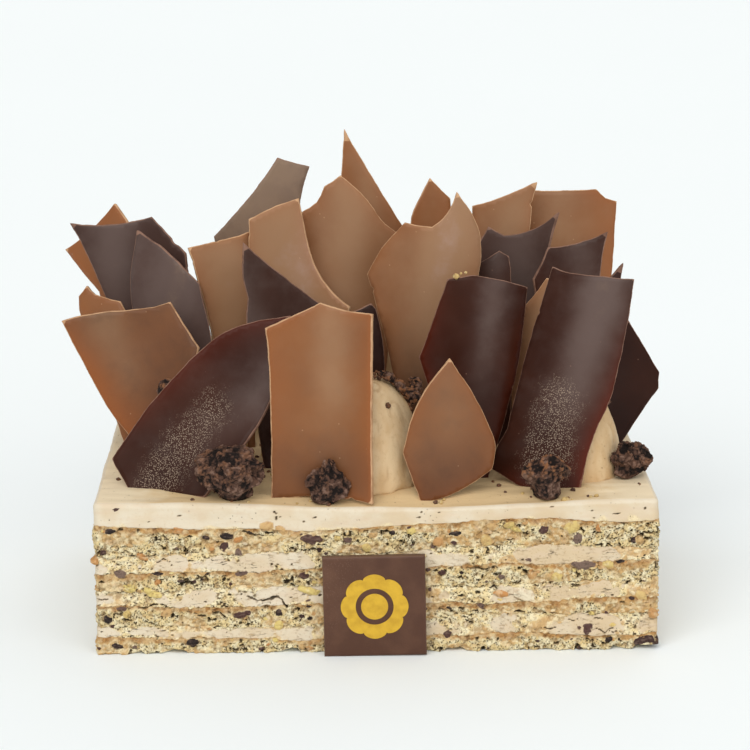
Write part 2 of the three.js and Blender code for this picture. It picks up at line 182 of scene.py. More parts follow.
class Shade:  # one material and its nodes
    def __init__(self, name):
        self.material = bpy.data.materials.new(name)
        self.material.use_nodes = True
        self.tree = self.material.node_tree
        self.tree.nodes.clear()

    def node(self, kind, settings=None, sockets=None, output=0):
        made = self.tree.nodes.new(kind)
        for key, value in (settings or {}).items():
            setattr(made, key, value)
        for key, value in (sockets or {}).items():
            if isinstance(value, Wire):
                self.tree.links.new(value.socket, made.inputs[key])
            else:
                made.inputs[key].default_value = value
        return Wire(self, made.outputs[output]) if made.outputs else made

    def mask(self, name):
        return self.node("ShaderNodeAttribute", {"attribute_name": name}, output="Fac")

    def place(self, size):  # object coordinates counted in a size, or in three sizes
        sizes = size if isinstance(size, tuple) else (size, size, size)
        spot = self.node("ShaderNodeTexCoord", output="Object")
        scale = tuple(1 / s for s in sizes)
        return self.node("ShaderNodeVectorMath", {"operation": "MULTIPLY"}, {0: spot, 1: scale})

    def noise(self, size, detail=2.0, roughness=0.5):
        sockets = {"Vector": self.place(size), "Scale": 1.0, "Detail": detail, "Roughness": roughness}
        return self.node("ShaderNodeTexNoise", None, sockets)

    def cells(self, size, warp=0.0):  # distance to the nearest of scattered spots, in sizes
        spot = self.place(size)
        if warp:
            sockets = {"Vector": spot, "Scale": 1.3, "Detail": 2.0}
            drift = self.node("ShaderNodeTexNoise", None, sockets, output="Color")
            drift = self.node("ShaderNodeVectorMath", {"operation": "SCALE"}, {0: drift, "Scale": warp})
            spot = self.node("ShaderNodeVectorMath", {"operation": "ADD"}, {0: spot, 1: drift})
        return self.node("ShaderNodeTexVoronoi", None, {"Vector": spot, "Scale": 1.0})

    def lines(self, size, width, detail=3.0):  # thin winding lines
        level = self.noise(size, detail, 0.55) - 0.5
        near = self.node("ShaderNodeMath", {"operation": "ABSOLUTE"}, {0: level})
        return 1 - near.between(0.35 * width, width)

    def mix(self, factor, first, second, blend="MIX"):
        settings = {"data_type": "RGBA", "blend_type": blend}
        return self.node("ShaderNodeMix", settings, {0: factor, 6: first, 7: second}, output=2)

    def finish(self, colour, roughness, height=None, depth=0.1 * mm, **fixed):
        sockets = {"Base Color": colour, "Roughness": roughness}
        if height is not None:
            bump = {"Strength": 1.0, "Distance": depth, "Height": height}
            sockets["Normal"] = self.node("ShaderNodeBump", None, bump)
        sockets.update({key.replace("_", " "): value for key, value in fixed.items()})
        surface = self.node("ShaderNodeBsdfPrincipled", None, sockets)
        self.node("ShaderNodeOutputMaterial", None, {"Surface": surface})
        return self.material


print("camera, light and floor", flush=True)
view = dict(elevation=14.9, distance=1.150, target=(0, 0, 0.085), lens=149.04, sensor=36, roll=0.54)
pitch = math.radians(view["elevation"])
forward = Vector((0, math.cos(pitch), -math.sin(pitch)))
across = Vector((1, 0, 0))
upward = across.cross(forward)
roll = math.radians(view["roll"])
rollAcross = math.cos(roll) * across - math.sin(roll) * upward
rollUp = math.sin(roll) * across + math.cos(roll) * upward
camera = bpy.data.objects.new("camera", bpy.data.cameras.new("camera"))
camera.data.lens = view["lens"]
camera.data.sensor_width = view["sensor"]
turned = Matrix((rollAcross, rollUp, -forward)).transposed().to_4x4()
camera.matrix_world = Matrix.Translation(Vector(view["target"]) - view["distance"] * forward) @ turned
scene.collection.objects.link(camera)
scene.camera = camera

studio = dict(
    skyColour=(1.0, 0.988, 0.97, 1.0), sky=0.56,
    suns=[
        dict(name="key", towards=(-0.32, -0.75, 0.78), spread=45, power=1.5),
        dict(name="fill", towards=(0.5, -0.85, 0.42), spread=60, power=0.85),
        dict(name="behind", towards=(0.3, 0.7, 0.8), spread=50, power=0.35),
    ],
    sunColour=(1.0, 0.985, 0.96), floor=(240, 246, 248), floorReach=6,
)
world = bpy.data.worlds.new("studio")
world.use_nodes = True
world.node_tree.nodes["Background"].inputs["Color"].default_value = studio["skyColour"]
world.node_tree.nodes["Background"].inputs["Strength"].default_value = studio["sky"]
scene.world = world
scene.view_settings.view_transform = "Standard"
for sun in studio["suns"]:
    light = bpy.data.lights.new(sun["name"], "SUN")
    light.energy = sun["power"]
    light.angle = math.radians(sun["spread"])
    light.color = studio["sunColour"]
    holder = bpy.data.objects.new(sun["name"], light)
    holder.matrix_world = Vector(sun["towards"]).to_track_quat("Z", "Y").to_matrix().to_4x4()
    scene.collection.objects.link(holder)

floorShade = Shade("paleFloor")
paleTone = linear(*studio["floor"])
floorTone = floorShade.mix(floorShade.noise(0.4), paleTone, linear(*(c + 2 for c in studio["floor"])))
floorMaterial = floorShade.finish(floorTone, 0.7, Specular_IOR_Level=0.1)
floorMesh = bpy.data.meshes.new("floor")
reach = studio["floorReach"]
floorCorners = [(-reach, -reach, 0), (reach, -reach, 0), (reach, reach, 0), (-reach, reach, 0)]
floorMesh.from_pydata(floorCorners, [], [(0, 1, 2, 3)])
floorMesh.materials.append(floorMaterial)
floor = bpy.data.objects.new("floor", floorMesh)
scene.collection.objects.link(floor)


print("materials", flush=True)
spongeColours = dict(
    pale=shown(255, 242, 202), yellow=shown(247, 224, 167), beige=shown(245, 221, 174),
    tan=shown(218, 178, 120), rosy=shown(228, 198, 160),
    # painted shade: the crevice brown for hollows, the darkest colour for inside holes, tears and creases,
    # and the brown round them
    crevice=shown(173, 136, 85), recessShade=shown(50, 40, 25), gap=shown(118, 92, 55),
    toast=(0.58, 0.42, 0.29, 1.0), toastLight=(0.88, 0.75, 0.6, 1.0),
    nutOrange=shown(208, 148, 88), nutTan=shown(216, 178, 122), nutYellow=shown(236, 212, 132),
    nutPale=shown(246, 232, 202), nutSkin=shown(166, 116, 70),
    chip=shown(40, 27, 24), chipPlum=shown(88, 58, 52), chipGrey=shown(132, 108, 94),
)


# each granule has its own tone, pale where the crumb is loose and tan where it is dense
def crumbTones(s, c, rise, warm, loose, own):
    airy = s.mix((own * 0.5 + s.noise(5 * mm, 2)).between(0.62, 0.9), c["pale"], c["yellow"])
    browned = own * 0.5 + s.noise((7 * mm, 7 * mm, 3 * mm), 3) + warm * 0.3
    dense = s.mix(browned.between(0.76, 1.06), c["beige"], c["tan"])
    dense = s.mix(s.noise(3.1 * mm, 2).between(0.5, 0.68) * 0.6, dense, c["rosy"])
    colour = s.mix((loose + s.noise(2.6 * mm, 3) - 0.5).between(0.12, 0.58), dense, airy)
    shade = s.noise(2.6 * mm, 3, 0.6)
    colour = s.mix(shade.between(0.54, 0.66) * 0.4, colour, c["crevice"])
    colour = s.mix((1 - shade.between(0.38, 0.46)) * 0.4, colour, c["pale"])
    colour = s.mix((1 - own.between(0.1, 0.3)) * 0.45, colour, c["pale"])
    colour = s.mix(own.between(0.75, 0.95) * 0.35, colour, c["tan"])
    # painted shade: crevice brown where the relief sinks, in the hollows between crags and grains
    hollowShade = 1 - (rise + 0.7 * (s.noise(0.8 * mm, 4, 0.7) - 0.5)).between(0.24, 0.6)
    colour = s.mix(hollowShade * 0.7, colour, c["crevice"])
    # painted shade: tiny dark specks and pores, dark inside and brown at their edges, with a dip in the bump
    speck = s.noise(0.6 * mm, 3, 0.6).between(0.59, 0.67) * (loose * 0.5 + 0.5)
    colour = s.mix(speck * 0.75, colour, c["gap"])
    airHole = (loose + 1.4 * s.noise(2.6 * mm, 3) - 0.7).between(0.45, 0.75)
    pore = (1 - s.cells(0.9 * mm, 1.2).between(0.19, 0.38)) * airHole
    poreTone = s.mix(s.noise(1.6 * mm, 2).between(0.36, 0.5), c["recessShade"], c["gap"])
    return s.mix(pore * 0.85, colour, poreTone), pore


def recessShadeTones(s, c, colour, recessShade):  # painted shade: brown round a hole, dark within it
    colour = s.mix(recessShade.between(0.1, 0.5) * 0.75, colour, c["gap"])
    deep = 0.6 + 0.38 * s.noise(2.4 * mm, 2).between(0.35, 0.55)
    return s.mix(recessShade.between(0.45, 0.9) * deep, colour, c["recessShade"])


def lumpTones(s, c, colour, nut, chip, tone):  # cut nuts and chips over what holds them
    kernel = s.mix(tone.between(0.2, 0.55), c["nutOrange"], c["nutTan"])
    kernel = s.mix(tone.between(0.62, 0.82), kernel, c["nutYellow"])
    kernel = s.mix(tone.between(0.9, 1.0), kernel, c["nutPale"])
    kernel = s.mix(s.noise(1.4 * mm, 4, 0.6).between(0.44, 0.7) * 0.5, kernel, c["nutSkin"])
    kernel = s.mix(s.noise(2.1 * mm, 3).between(0.52, 0.7) * 0.35, kernel, c["pale"])
    ragged = nut + 0.5 * (s.noise(0.9 * mm, 3, 0.6) - 0.5)
    colour = s.mix(ragged.between(0.15, 0.4) * 0.3, colour, c["nutSkin"])
    colour = s.mix(ragged.between(0.35, 0.8), colour, kernel)
    dark = s.mix(tone.between(0.2, 0.6), c["chip"], c["chipPlum"])
    dark = s.mix(tone.between(0.65, 0.95), dark, c["chipGrey"])
    dark = s.mix(s.noise((2.4 * mm, 2.4 * mm, 0.9 * mm), 3).between(0.5, 0.66) * 0.6, dark, c["chipGrey"])
    dark = s.mix(s.noise(0.8 * mm, 3).between(0.54, 0.68) * 0.6, dark, c["chip"])
    ragged = chip + 0.7 * (s.noise(0.9 * mm, 3, 0.6) - 0.5)
    return s.mix(ragged.between(0.35, 0.7), colour, dark)


def spongeMaterial(c):
    s = Shade("nutSponge")
    names = ("toast", "nut", "chip", "recessShade", "tone", "rise", "warm", "loose", "own")
    toast, nut, chip, recessShade, tone, rise, warm, loose, own = (s.mask(name) for name in names)
    colour, deep = crumbTones(s, c, rise, warm, loose, own)
    soaked = s.mix(s.noise(2.4 * mm, 4, 0.6).between(0.38, 0.64), c["toast"], c["toastLight"])
    colour = s.mix(toast * (0.55 + 0.45 * s.noise(4 * mm, 3).between(0.3, 0.6)), colour, soaked, "MULTIPLY")
    colour = lumpTones(s, c, colour, nut, chip, tone)
    colour = recessShadeTones(s, c, colour, recessShade)
    rough = 0.9 - 0.3 * (nut + chip).between(0.4, 0.8)
    bump = s.noise(0.5 * mm, 3, 0.65) - deep * (1 - 0.6 * toast)
    return s.finish(colour, rough, bump, 0.45 * mm, Specular_IOR_Level=0.3)


creamColours = dict(
    spongeColours,
    light=shown(235, 222, 198), dull=shown(223, 199, 162), blush=shown(228, 205, 177),
    top=shown(249, 230, 195), topTan=shown(232, 202, 154), hollowShade=shown(84, 64, 44),
)


def creamMaterial(c):
    s = Shade("nutCream")
    names = ("nut", "chip", "recessShade", "tone", "smear", "rise", "top", "torn", "warm", "loose", "own")
    nut, chip, recessShade, tone, smear, rise, top, torn, warm, loose, own = (s.mask(name) for name in names)
    dulled = s.noise(13 * mm, 2).between(0.35, 0.65) * 0.5 + warm * 0.7
    colour = s.mix(dulled.between(0, 1), c["light"], c["dull"])
    colour = s.mix(s.noise((9 * mm, 9 * mm, 2 * mm), 3).between(0.48, 0.72) * 0.5, colour, c["blush"])
    colour = s.mix(s.noise(1.3 * mm, 4, 0.65).between(0.5, 0.74) * 0.45, colour, c["dull"])
    topTone = s.mix((warm + s.noise(5 * mm, 3) - 0.5).between(0.1, 0.9), c["top"], c["topTan"])
    colour = s.mix(top, colour, topTone)
    crumb, deep = crumbTones(s, c, rise, warm, loose, own)
    ragged = smear + 0.4 * (s.noise(0.9 * mm, 3, 0.6) - 0.5)
    colour = s.mix(ragged.between(0.25, 0.75) * 0.92, colour, crumb)
    # painted shade: crevice brown in small dented patches of the torn cream
    dentPatch = s.noise((2.4 * mm, 2.4 * mm, 0.9 * mm), 4, 0.7).between(0.52, 0.68)
    dentPatch = dentPatch * s.noise(6 * mm, 2).between(0.42, 0.58) * torn
    colour = s.mix(dentPatch * 0.5, colour, c["crevice"])
    fleck = s.noise(0.7 * mm, 3, 0.6).between(0.58, 0.66) * s.noise(5 * mm, 2).between(0.4, 0.56) * torn
    colour = s.mix(fleck * 0.55, colour, c["crevice"])
    # thin tears that run along the layer, where the cream was dragged by the knife; tears and small pits are
    # painted dark as the shade in them
    tear = s.lines((12 * mm, 12 * mm, 2.2 * mm), 0.011, 4.0)
    tear = tear * s.noise((8 * mm, 8 * mm, 4 * mm), 2).between(0.57, 0.63) * torn
    dot = (1 - s.cells(1.9 * mm, 0.8).between(0.07, 0.14)) * s.noise(7 * mm, 1).between(0.46, 0.6)
    colour = s.mix(tear * 0.9, colour, c["hollowShade"])
    colour = s.mix(dot * 0.7, colour, c["hollowShade"])
    colour = lumpTones(s, c, colour, nut, chip, tone)
    colour = recessShadeTones(s, c, colour, recessShade)
    ripple = s.noise((7 * mm, 2.5 * mm, 1.5 * mm), 3) * (0.6 + 0.4 * top)
    bump = s.noise(0.6 * mm, 3, 0.6) * (0.25 + smear) + ripple - dot - tear * 1.5 - deep * smear - dentPatch
    return s.finish(colour, 0.55 + 0.15 * s.noise(3 * mm), bump, 0.17 * mm, Specular_IOR_Level=0.3)


pipedColours = dict(light=shown(232, 203, 160), dull=shown(221, 186, 139), deep=shown(182, 140, 94))


def pipedMaterial(c):
    s = Shade("pipedCream")
    crease = s.mask("recessShade")
    colour = s.mix(s.noise((5 * mm, 5 * mm, 12 * mm), 3).between(0.35, 0.65), c["light"], c["dull"])
    colour = s.mix(s.noise(1.6 * mm, 4, 0.6).between(0.52, 0.78) * 0.4, colour, c["deep"])
    dot = (1 - s.cells(2.6 * mm, 0.8).between(0.06, 0.12)) * s.noise(6 * mm, 1).between(0.5, 0.62)
    # painted shade: creases and small pits painted the deep colour
    colour = s.mix((dot * 0.6 + crease * 0.6).between(0.1, 1.2), colour, c["deep"])
    bump = s.noise((3 * mm, 3 * mm, 7 * mm), 4) + s.noise(0.6 * mm, 2) * 0.15 - dot
    return s.finish(colour, 0.5 + 0.15 * s.noise(2.5 * mm), bump, 0.25 * mm, Specular_IOR_Level=0.3)


milkColours = dict(
    body=linear(122, 78, 48), warm=linear(130, 82, 47), deep=linear(64, 38, 26),
    glow=linear(150, 84, 38), rim=linear(204, 164, 126), beadGlint=linear(204, 164, 126),
    sheen=linear(151, 115, 85), brightSheen=linear(174, 146, 132),
)
darkColours = dict(
    body=linear(47, 21, 12), warm=linear(56, 28, 18), deep=linear(22, 10, 7),
    glow=linear(110, 36, 18), rim=linear(146, 112, 95), beadGlint=linear(166, 146, 128),
    sheen=linear(93, 77, 72), brightSheen=linear(136, 114, 96),
)


def sheetMaterial(name, c, roughness, gloss):
    s = Shade(name)
    names = ("edge", "glow", "beadGlint", "sheen", "shadeDim")
    edge, glow, beadGlint, sheen, shadeDim = (s.mask(maskName) for maskName in names)
    colour = s.mix(s.noise(22 * mm, 2).between(0.35, 0.65), c["body"], c["warm"])
    mottle = s.noise(8 * mm, 4, 0.6).between(0.4, 0.75)
    sheenPatch = s.noise(15 * mm, 3, 0.5).between(0.46, 0.66)
    # painted sheen: a pale reflection painted over the chocolate, paler still where the sheen mask runs past
    # 1
    colour = s.mix((sheen + mottle * 0.12 + sheenPatch * 0.1).between(0.0, 1.0), colour, c["sheen"])
    colour = s.mix((sheen + mottle * 0.3).between(1.0, 2.0), colour, c["brightSheen"])
    # painted shade: the sheet darkened towards the deep colour
    colour = s.mix((shadeDim + mottle * 0.12).between(0.0, 1.0), colour, c["deep"])
    colour = s.mix(glow * (0.7 + 0.3 * s.noise(9 * mm)), colour, c["glow"])
    # fine beads: bumps, with pale dots painted on them as glints
    beaded = (beadGlint + 0.5 * s.noise(2.2 * mm, 3) - 0.25).between(0.1, 0.5)
    bead = (1 - s.cells(0.5 * mm, 0.5).between(0.22, 0.46)) * beaded
    colour = s.mix(bead * 0.85, colour, c["beadGlint"])
    nick = 1 - s.cells(6.5 * mm).between(0.03, 0.05)  # tiny burst bubbles
    colour = s.mix(nick * 0.3, colour, c["rim"])
    # the pale rim along a broken edge: partly its own paler colour, partly a painted highlight
    rim = 1 - (edge + 0.2 * s.noise(1.5 * mm, 3)).between(0.12, 0.36)
    colour = s.mix(rim * (0.45 + 0.4 * s.noise(4 * mm, 3).between(0.3, 0.6)), colour, c["rim"])
    rough = roughness + 0.12 * s.noise(11 * mm, 3).between(0.3, 0.7) + 0.3 * rim
    bump = s.noise(6 * mm, 3) * 0.8 + s.noise(0.6 * mm, 2) * 0.05 + bead * 0.8 - nick * 0.5
    return s.finish(colour, rough, bump, 0.12 * mm, Specular_IOR_Level=gloss)


cocoaColours = dict(
    deep=linear(26, 17, 14), body=linear(83, 59, 48), lit=linear(136, 91, 59), crestHighlight=linear(130, 103, 89),
)


def cocoaMaterial(c):
    s = Shade("cocoaCrumb")
    height, torn = s.mask("height"), s.mask("torn")
    # painted shade and highlight from the relief: low spots between grains painted deep, raised crests
    # painted pale
    raised = height + 0.4 * (s.noise(0.9 * mm, 3, 0.6) - 0.5)
    colour = s.mix(raised.between(0.25, 0.6), c["deep"], c["body"])
    crestLevel = height + 0.5 * (s.noise(0.7 * mm, 3, 0.6) - 0.5)
    colour = s.mix(crestLevel.between(0.62, 0.85) * 0.7, colour, c["crestHighlight"])
    brown = height.between(0.3, 0.7) * torn * s.noise(2.2 * mm, 3).between(0.42, 0.6)
    colour = s.mix(brown, colour, c["lit"])
    colour = s.mix(s.noise(0.8 * mm, 3).between(0.58, 0.7) * 0.5, colour, c["deep"])
    bump = s.noise(0.5 * mm, 4, 0.7)
    return s.finish(colour, 0.86 - 0.2 * s.noise(1.1 * mm), bump, 0.35 * mm, Specular_IOR_Level=0.2)


plaqueColours = dict(
    body=linear(78, 50, 37), light=linear(95, 65, 49), edge=linear(116, 90, 74),
    gold=linear(212, 170, 44), goldDeep=linear(192, 150, 34),
)


def plaqueMaterial(c):
    s = Shade("plaqueBrown")
    dustAndShade = s.mask("dustAndShade")  # more pale dust specks towards the upper left, where the whole plaque is also painted lighter; painted shade darkens it towards the lower right
    lightened = s.noise(9 * mm, 3).between(0.35, 0.7) * 0.5 + dustAndShade * 0.6
    colour = s.mix(lightened.between(0, 1), c["body"], c["light"])
    dust = (1 - s.cells(0.7 * mm, 0.3).between(0.16, 0.3)) * (dustAndShade + s.noise(5 * mm) - 0.5).between(0.2, 0.8)
    colour = s.mix(dust * 0.5, colour, c["edge"])
    colour = s.mix((1 - s.mask("edge").between(0.1, 0.5)) * 0.5, colour, c["edge"])
    rough = 0.42 + 0.12 * s.noise(4 * mm)
    return s.finish(colour, rough, s.noise(0.7 * mm, 2) + dust, 0.05 * mm, Specular_IOR_Level=0.25)


def goldMaterial(c):
    s = Shade("goldPrint")
    colour = s.mix(s.noise(3 * mm, 3).between(0.3, 0.75), c["gold"], c["goldDeep"])
    return s.finish(colour, 0.42 + 0.1 * s.noise(2 * mm), s.noise(0.6 * mm, 2), 0.04 * mm, Metallic=0.25)


spongeFinish = spongeMaterial(spongeColours)
creamFinish = creamMaterial(creamColours)
pipedFinish = pipedMaterial(pipedColours)
sheetFinish = {
    "milk": sheetMaterial("milkSheet", milkColours, 0.38, 0.2),
    "dark": sheetMaterial("darkSheet", darkColours, 0.3, 0.09),
}
cocoaFinish = cocoaMaterial(cocoaColours)
plaqueFinish = plaqueMaterial(plaqueColours)
goldFinish = goldMaterial(plaqueColours)


print("block of layers", flush=True)
block = dict(
    halfWidth=100 * mm, halfDepth=65 * mm, corner=1.4 * mm, cornerAngles=(0, 30, 60, 90), slant=6 * mm,
    frontStep=0.3 * mm, sideStep=0.45 * mm, rowStep=0.3 * mm, fewestRows=8,
    probe=2.6 * mm, under=-10 * mm, over=200 * mm, overlap=0.05 * mm, seam=0.8 * mm, topSeam=0.55 * mm,
    sag=2.4 * mm, sagMiddle=8 * mm, sagHalf=95 * mm, sagReach=14 * mm,
)


def runIn(place):  # the right side runs in towards the back
    share = np.maximum(0, place[..., 0] / block["halfWidth"]) * (place[..., 1] / block["halfDepth"] + 1) / 2
    return place - np.stack([block["slant"] * share, np.zeros_like(share)], -1)


def droop(place):  # how far the top has sunk, most at the middle of its front edge
    along = np.clip((place[..., 0] - block["sagMiddle"]) / block["sagHalf"], -1, 1)
    back = smoothStep(0, block["sagReach"], place[..., 1] + block["halfDepth"])
    return block["sag"] * np.cos(along * math.pi / 2) ** 2 * (1 - back)


def onPath(at, steps, run):  # the spots of a path at these lengths along it
    return np.stack([np.interp(at, steps, run[:, k]) for k in (0, 1)], -1)


def runLength(run):  # how far along a path each of its points is
    return np.concatenate([[0], np.cumsum(np.linalg.norm(np.diff(run, axis=0), axis=1))])


def planColumns():  # points round the plan, anticlockwise from the front's right end, with outward directions
    x, y, c = block["halfWidth"], block["halfDepth"], block["corner"]
    corners = [((x - c, -y + c), -90), ((x - c, y - c), 0), ((-x + c, y - c), 90), ((-x + c, -y + c), 180)]
    spots, outs = [], []
    for (cx, cy), start in corners:
        for angle in np.radians(start + np.array(block["cornerAngles"])):
            spots.append((cx + c * math.cos(angle), cy + c * math.sin(angle)))
            outs.append((math.cos(angle), math.sin(angle)))
    ends, outEnds = (np.vstack([part, part[:1]]) for part in (spots, outs))
    run = runLength(ends)
    frontStart = run[-2] - 2 * c  # finer along the front
    front = np.arange(frontStart, run[-1] - 0.1 * mm, block["frontStep"])
    along = np.concatenate([np.arange(0, frontStart, block["sideStep"]), front])
    place, out = (onPath(along, run, part) for part in (ends, outEnds))
    return runIn(place), out / np.linalg.norm(out, axis=1, keepdims=True), along, run[-1]


def seamHeights(nodeName, place, out):  # the node's underside and top near its side, at each column
    tree = solidTree(nodeName)
    inside = place - out * block["probe"]
    low, high = np.empty(len(place)), np.empty(len(place))
    for i, (x, y) in enumerate(inside):
        low[i] = tree.ray_cast(Vector((x, y, block["under"])), Vector((0, 0, 1)))[0].z
        high[i] = tree.ray_cast(Vector((x, y, block["over"])), Vector((0, 0, -1)))[0].z
    return low, high


def seamRough(place, seam, amount):  # both layers at a seam share this wander
    flat = np.column_stack([place, np.full(len(place), 0.05 * seam)])
    broad, fine = layeredNoise(flat, 7 * mm, 40 + seam, 4), layeredNoise(flat, 1.9 * mm, 60 + seam, 3)
    return amount * (1.2 * broad + 0.8 * fine)


# how far a lump may lean, how angular it is, and how much crumb clings to it
lumpForm = {
    "nut": dict(tilt=0.45, blocky=0.6, clinging=0.35),
    "chip": dict(tilt=0.25, blocky=0.75, clinging=0.65),
}
stripMasks = ("toast", "nut", "chip", "recessShade", "tone", "smear", "rise", "top", "torn", "warm", "loose", "own")


class SideStrip:  # the cut side of a layer, unrolled: along it, up it, and how far each spot stands out
    def __init__(self, place, out, along, length, low, high, rows):
        share = np.linspace(0, 1, rows + 1)
        self.along = np.broadcast_to(along[:, None], (len(along), rows + 1))
        self.length = length
        self.height = low[:, None] + (high - low)[:, None] * share[None, :]
        self.share = np.broadcast_to(share[None, :], self.height.shape)
        self.flat = np.dstack([np.broadcast_to(place[:, None, :], self.height.shape + (2,)), self.height])
        self.out = out
        self.stand = np.zeros(self.height.shape)
        self.masks = {name: np.zeros(self.height.shape) for name in stripMasks}
        self.line = along
        drift = 0.25 * layeredNoise(self.flat, 22 * mm, 91, 2)
        rightward = smoothStep(-50 * mm, 80 * mm, self.flat[..., 0])  # tanner towards the right
        self.masks["warm"] = np.clip(0.15 + 0.6 * rightward + drift, 0, 1)

    def apart(self, along, spot):  # along the side from a spot, the shorter way round
        return (along - spot + self.length / 2) % self.length - self.length / 2

    def window(self, spot, reach):  # the columns within reach of a place along the side
        return np.nonzero(np.abs(self.apart(self.line, spot)) <= reach)[0]

    def offsets(self, columns, spot, level):
        return self.apart(self.along[columns], spot), self.height[columns] - level

    def deepen(self, name, columns, values):
        self.masks[name][columns] = np.maximum(self.masks[name][columns], values)

    def lump(self, rng, kind, spot, level, half, tall, stand, tone):  # a cut nut or chip, uneven in outline
        columns = self.window(spot, 1.8 * max(half, tall))
        away, up = self.offsets(columns, spot, level)
        form = lumpForm[kind]
        tilt = rng.uniform(-form["tilt"], form["tilt"])
        u = (away * math.cos(tilt) + up * math.sin(tilt)) / half
        v = (up * math.cos(tilt) - away * math.sin(tilt)) / tall
        shape = np.dstack([u, v, np.full_like(u, rng.uniform(0, 90))])
        facets = zip(np.radians(60 * (np.arange(6) + rng.uniform(-0.35, 0.35, 6))), rng.uniform(0.72, 1.0, 6))
        angular = np.max([(u * math.cos(a) + v * math.sin(a)) / r for a, r in facets], axis=0)
        q = form["blocky"] * angular + (1 - form["blocky"]) * np.hypot(u, v)
        q = q + 0.24 * layeredNoise(shape, 1.1, 3, 2)
        q += 0.42 * mm / half * layeredNoise(self.flat[columns], 1.4 * mm, 14, 3)
        clinging = smoothStep(0.5, 0.66, valueNoise(self.flat[columns], 1.4 * mm, 23))
        inside = smoothStep(1.08, 0.86, q) * (1 - form["clinging"] * clinging * smoothStep(0.3, 0.85, q))
        broken = smoothStep(0.45, 0.7, valueNoise(self.flat[columns], 1.6 * mm, 19))
        groove = smoothStep(1.4, 1.1, q) * (1 - inside) * broken
        for other in ("nut", "chip", "toast", "recessShade"):
            self.masks[other][columns] *= 1 - inside
        self.deepen(kind, columns, inside)
        self.masks["tone"][columns] = np.where(q < 1.3, tone, self.masks["tone"][columns])
        # painted shadow: the groove is painted dark below a lump, and its relief mask is lowered so that the
        # shade of hollows darkens it
        self.deepen("recessShade", columns, 0.5 * groove * (up < 0))
        self.masks["rise"][columns] *= 1 - 0.4 * groove
        swell = stand * smoothStep(1.2, 0.2, q) + 0.15 * mm * layeredNoise(shape, 0.6, 5, 2)
        self.stand[columns] = (self.stand[columns] - 0.3 * mm * groove) * (1 - inside) + inside * swell

    def tear(self, run, width, depth):  # a jagged gap along a run of spots, painted dark as shade
        spots = np.array(run)
        columns = self.window(spots[:, 0].mean(), np.ptp(spots[:, 0]) / 2 + 2 * width)
        jag = mm * np.dstack([layeredNoise(self.flat[columns], 2.2 * mm, k, 4) for k in (51, 52)])
        here = np.dstack([self.along[columns], self.height[columns]]) + jag
        best = np.full(here.shape[:2], 1.0)
        for a, b in zip(spots[:-1], spots[1:]):
            share = np.clip((here - a) @ (b - a) / np.sum((b - a) ** 2), 0, 1)
            best = np.minimum(best, np.linalg.norm(here - a - share[..., None] * (b - a), axis=-1))
        gape = smoothStep(1.3, 0.5, best / (width * 1.6 * valueNoise(self.flat[columns], 2.5 * mm, 55)))
        self.deepen("recessShade", columns, gape)
        self.stand[columns] -= depth * gape

    def fissure(self, spot, level, length, width, depth):  # a torn gap that wanders along the side, painted dark as shade
        columns = self.window(spot, length / 2)
        away, up = self.offsets(columns, spot, level)
        path = np.dstack([away, np.zeros_like(away), np.full_like(away, spot + level)])
        wander = layeredNoise(path, 3.5 * mm, 5, 3) * min(1.4 * mm, 0.25 * length)
        taper = np.clip(1 - (2 * away / length) ** 2, 0, 1) * (0.5 + 0.9 * valueNoise(path, 1.7 * mm, 9))
        gape = smoothStep(1.4, 0.6, np.abs(up - wander) / (width * taper + 0.03 * mm))
        self.deepen("recessShade", columns, gape)
        self.stand[columns] -= depth * gape

    def crumble(self, seed):  # torn crumb: ragged grain with crags in it, and the holes where it is loose; the relief is kept as the rise mask for painted shade, and the holes are painted dark as shade
        spots = warped(self.flat, 1.6 * mm, 1.1 * mm, 15)
        broad = layeredNoise(self.flat, 3.6 * mm, 3 + seed, 3)
        ragged = layeredNoise(self.flat, 1.3 * mm, 8 + seed, 4)
        near, further, own = cellParts(spots * (1, 1, 1.25), 1.7 * mm, 5 + seed)
        cleft = smoothStep(0.2, 0.02, further - near)
        crag = 0.8 * (own - 0.5) + 0.4 - 0.7 * near
        self.stand += mm * (0.9 * broad + 0.6 * crag + 0.9 * ragged - 0.2 * cleft)
        crowd = smoothStep(0.3, 0.56, valueNoise(self.flat * (0.75, 0.75, 1.3), 7 * mm, 13 + seed))
        rag = layeredNoise(self.flat * (0.8, 0.8, 1.3), 1.5 * mm, 27 + seed, 5) + 0.12 * (cleft - 0.2)
        limit = 0.5 - 0.25 * crowd
        hole = smoothStep(limit, limit + 0.12, rag)
        self.masks["rise"] = np.clip(0.62 + 0.22 * crag + 0.55 * ragged + 0.25 * broad - 0.12 * cleft, 0, 1)
        self.masks["own"] = own
        self.masks["loose"] = crowd
        self.masks["recessShade"] = np.maximum(self.masks["recessShade"], hole)
        self.stand -= 1.2 * mm * hole

    def points(self):
        spots = self.flat.copy()
        spots[..., :2] += self.out[:, None, :] * self.stand[..., None]
        return spots


def stripFaces(columns, rows):  # quads round a closed strip, facing out
    i, j = np.meshgrid(np.arange(columns), np.arange(rows), indexing="ij")
    a = i * (rows + 1) + j
    b = (i + 1) % columns * (rows + 1) + j
    return np.stack([a, b, b + 1, a + 1], -1).reshape(-1, 4)


def capFaces(ring, middle, upwards):
    nextRing = np.roll(ring, -1)
    order = (ring, nextRing) if upwards else (nextRing, ring)
    return np.stack([*order, np.full(len(ring), middle)], -1)


sponge = dict(
    nuts=40, chips=30, tears=16,
    nutSize=(0.6, 1.5), chipSize=(0.5, 1.4), bigSize=(1.4, 3.4), stand=(0.1, 0.7),  # in mm
    soaked=(1.2, 2.0, 1.8, 1.2),  # how deep each layer is browned under its top, in mm
)
filling = dict(fissures=16, nuts=5, chips=6, pits=60, rough=0.64)
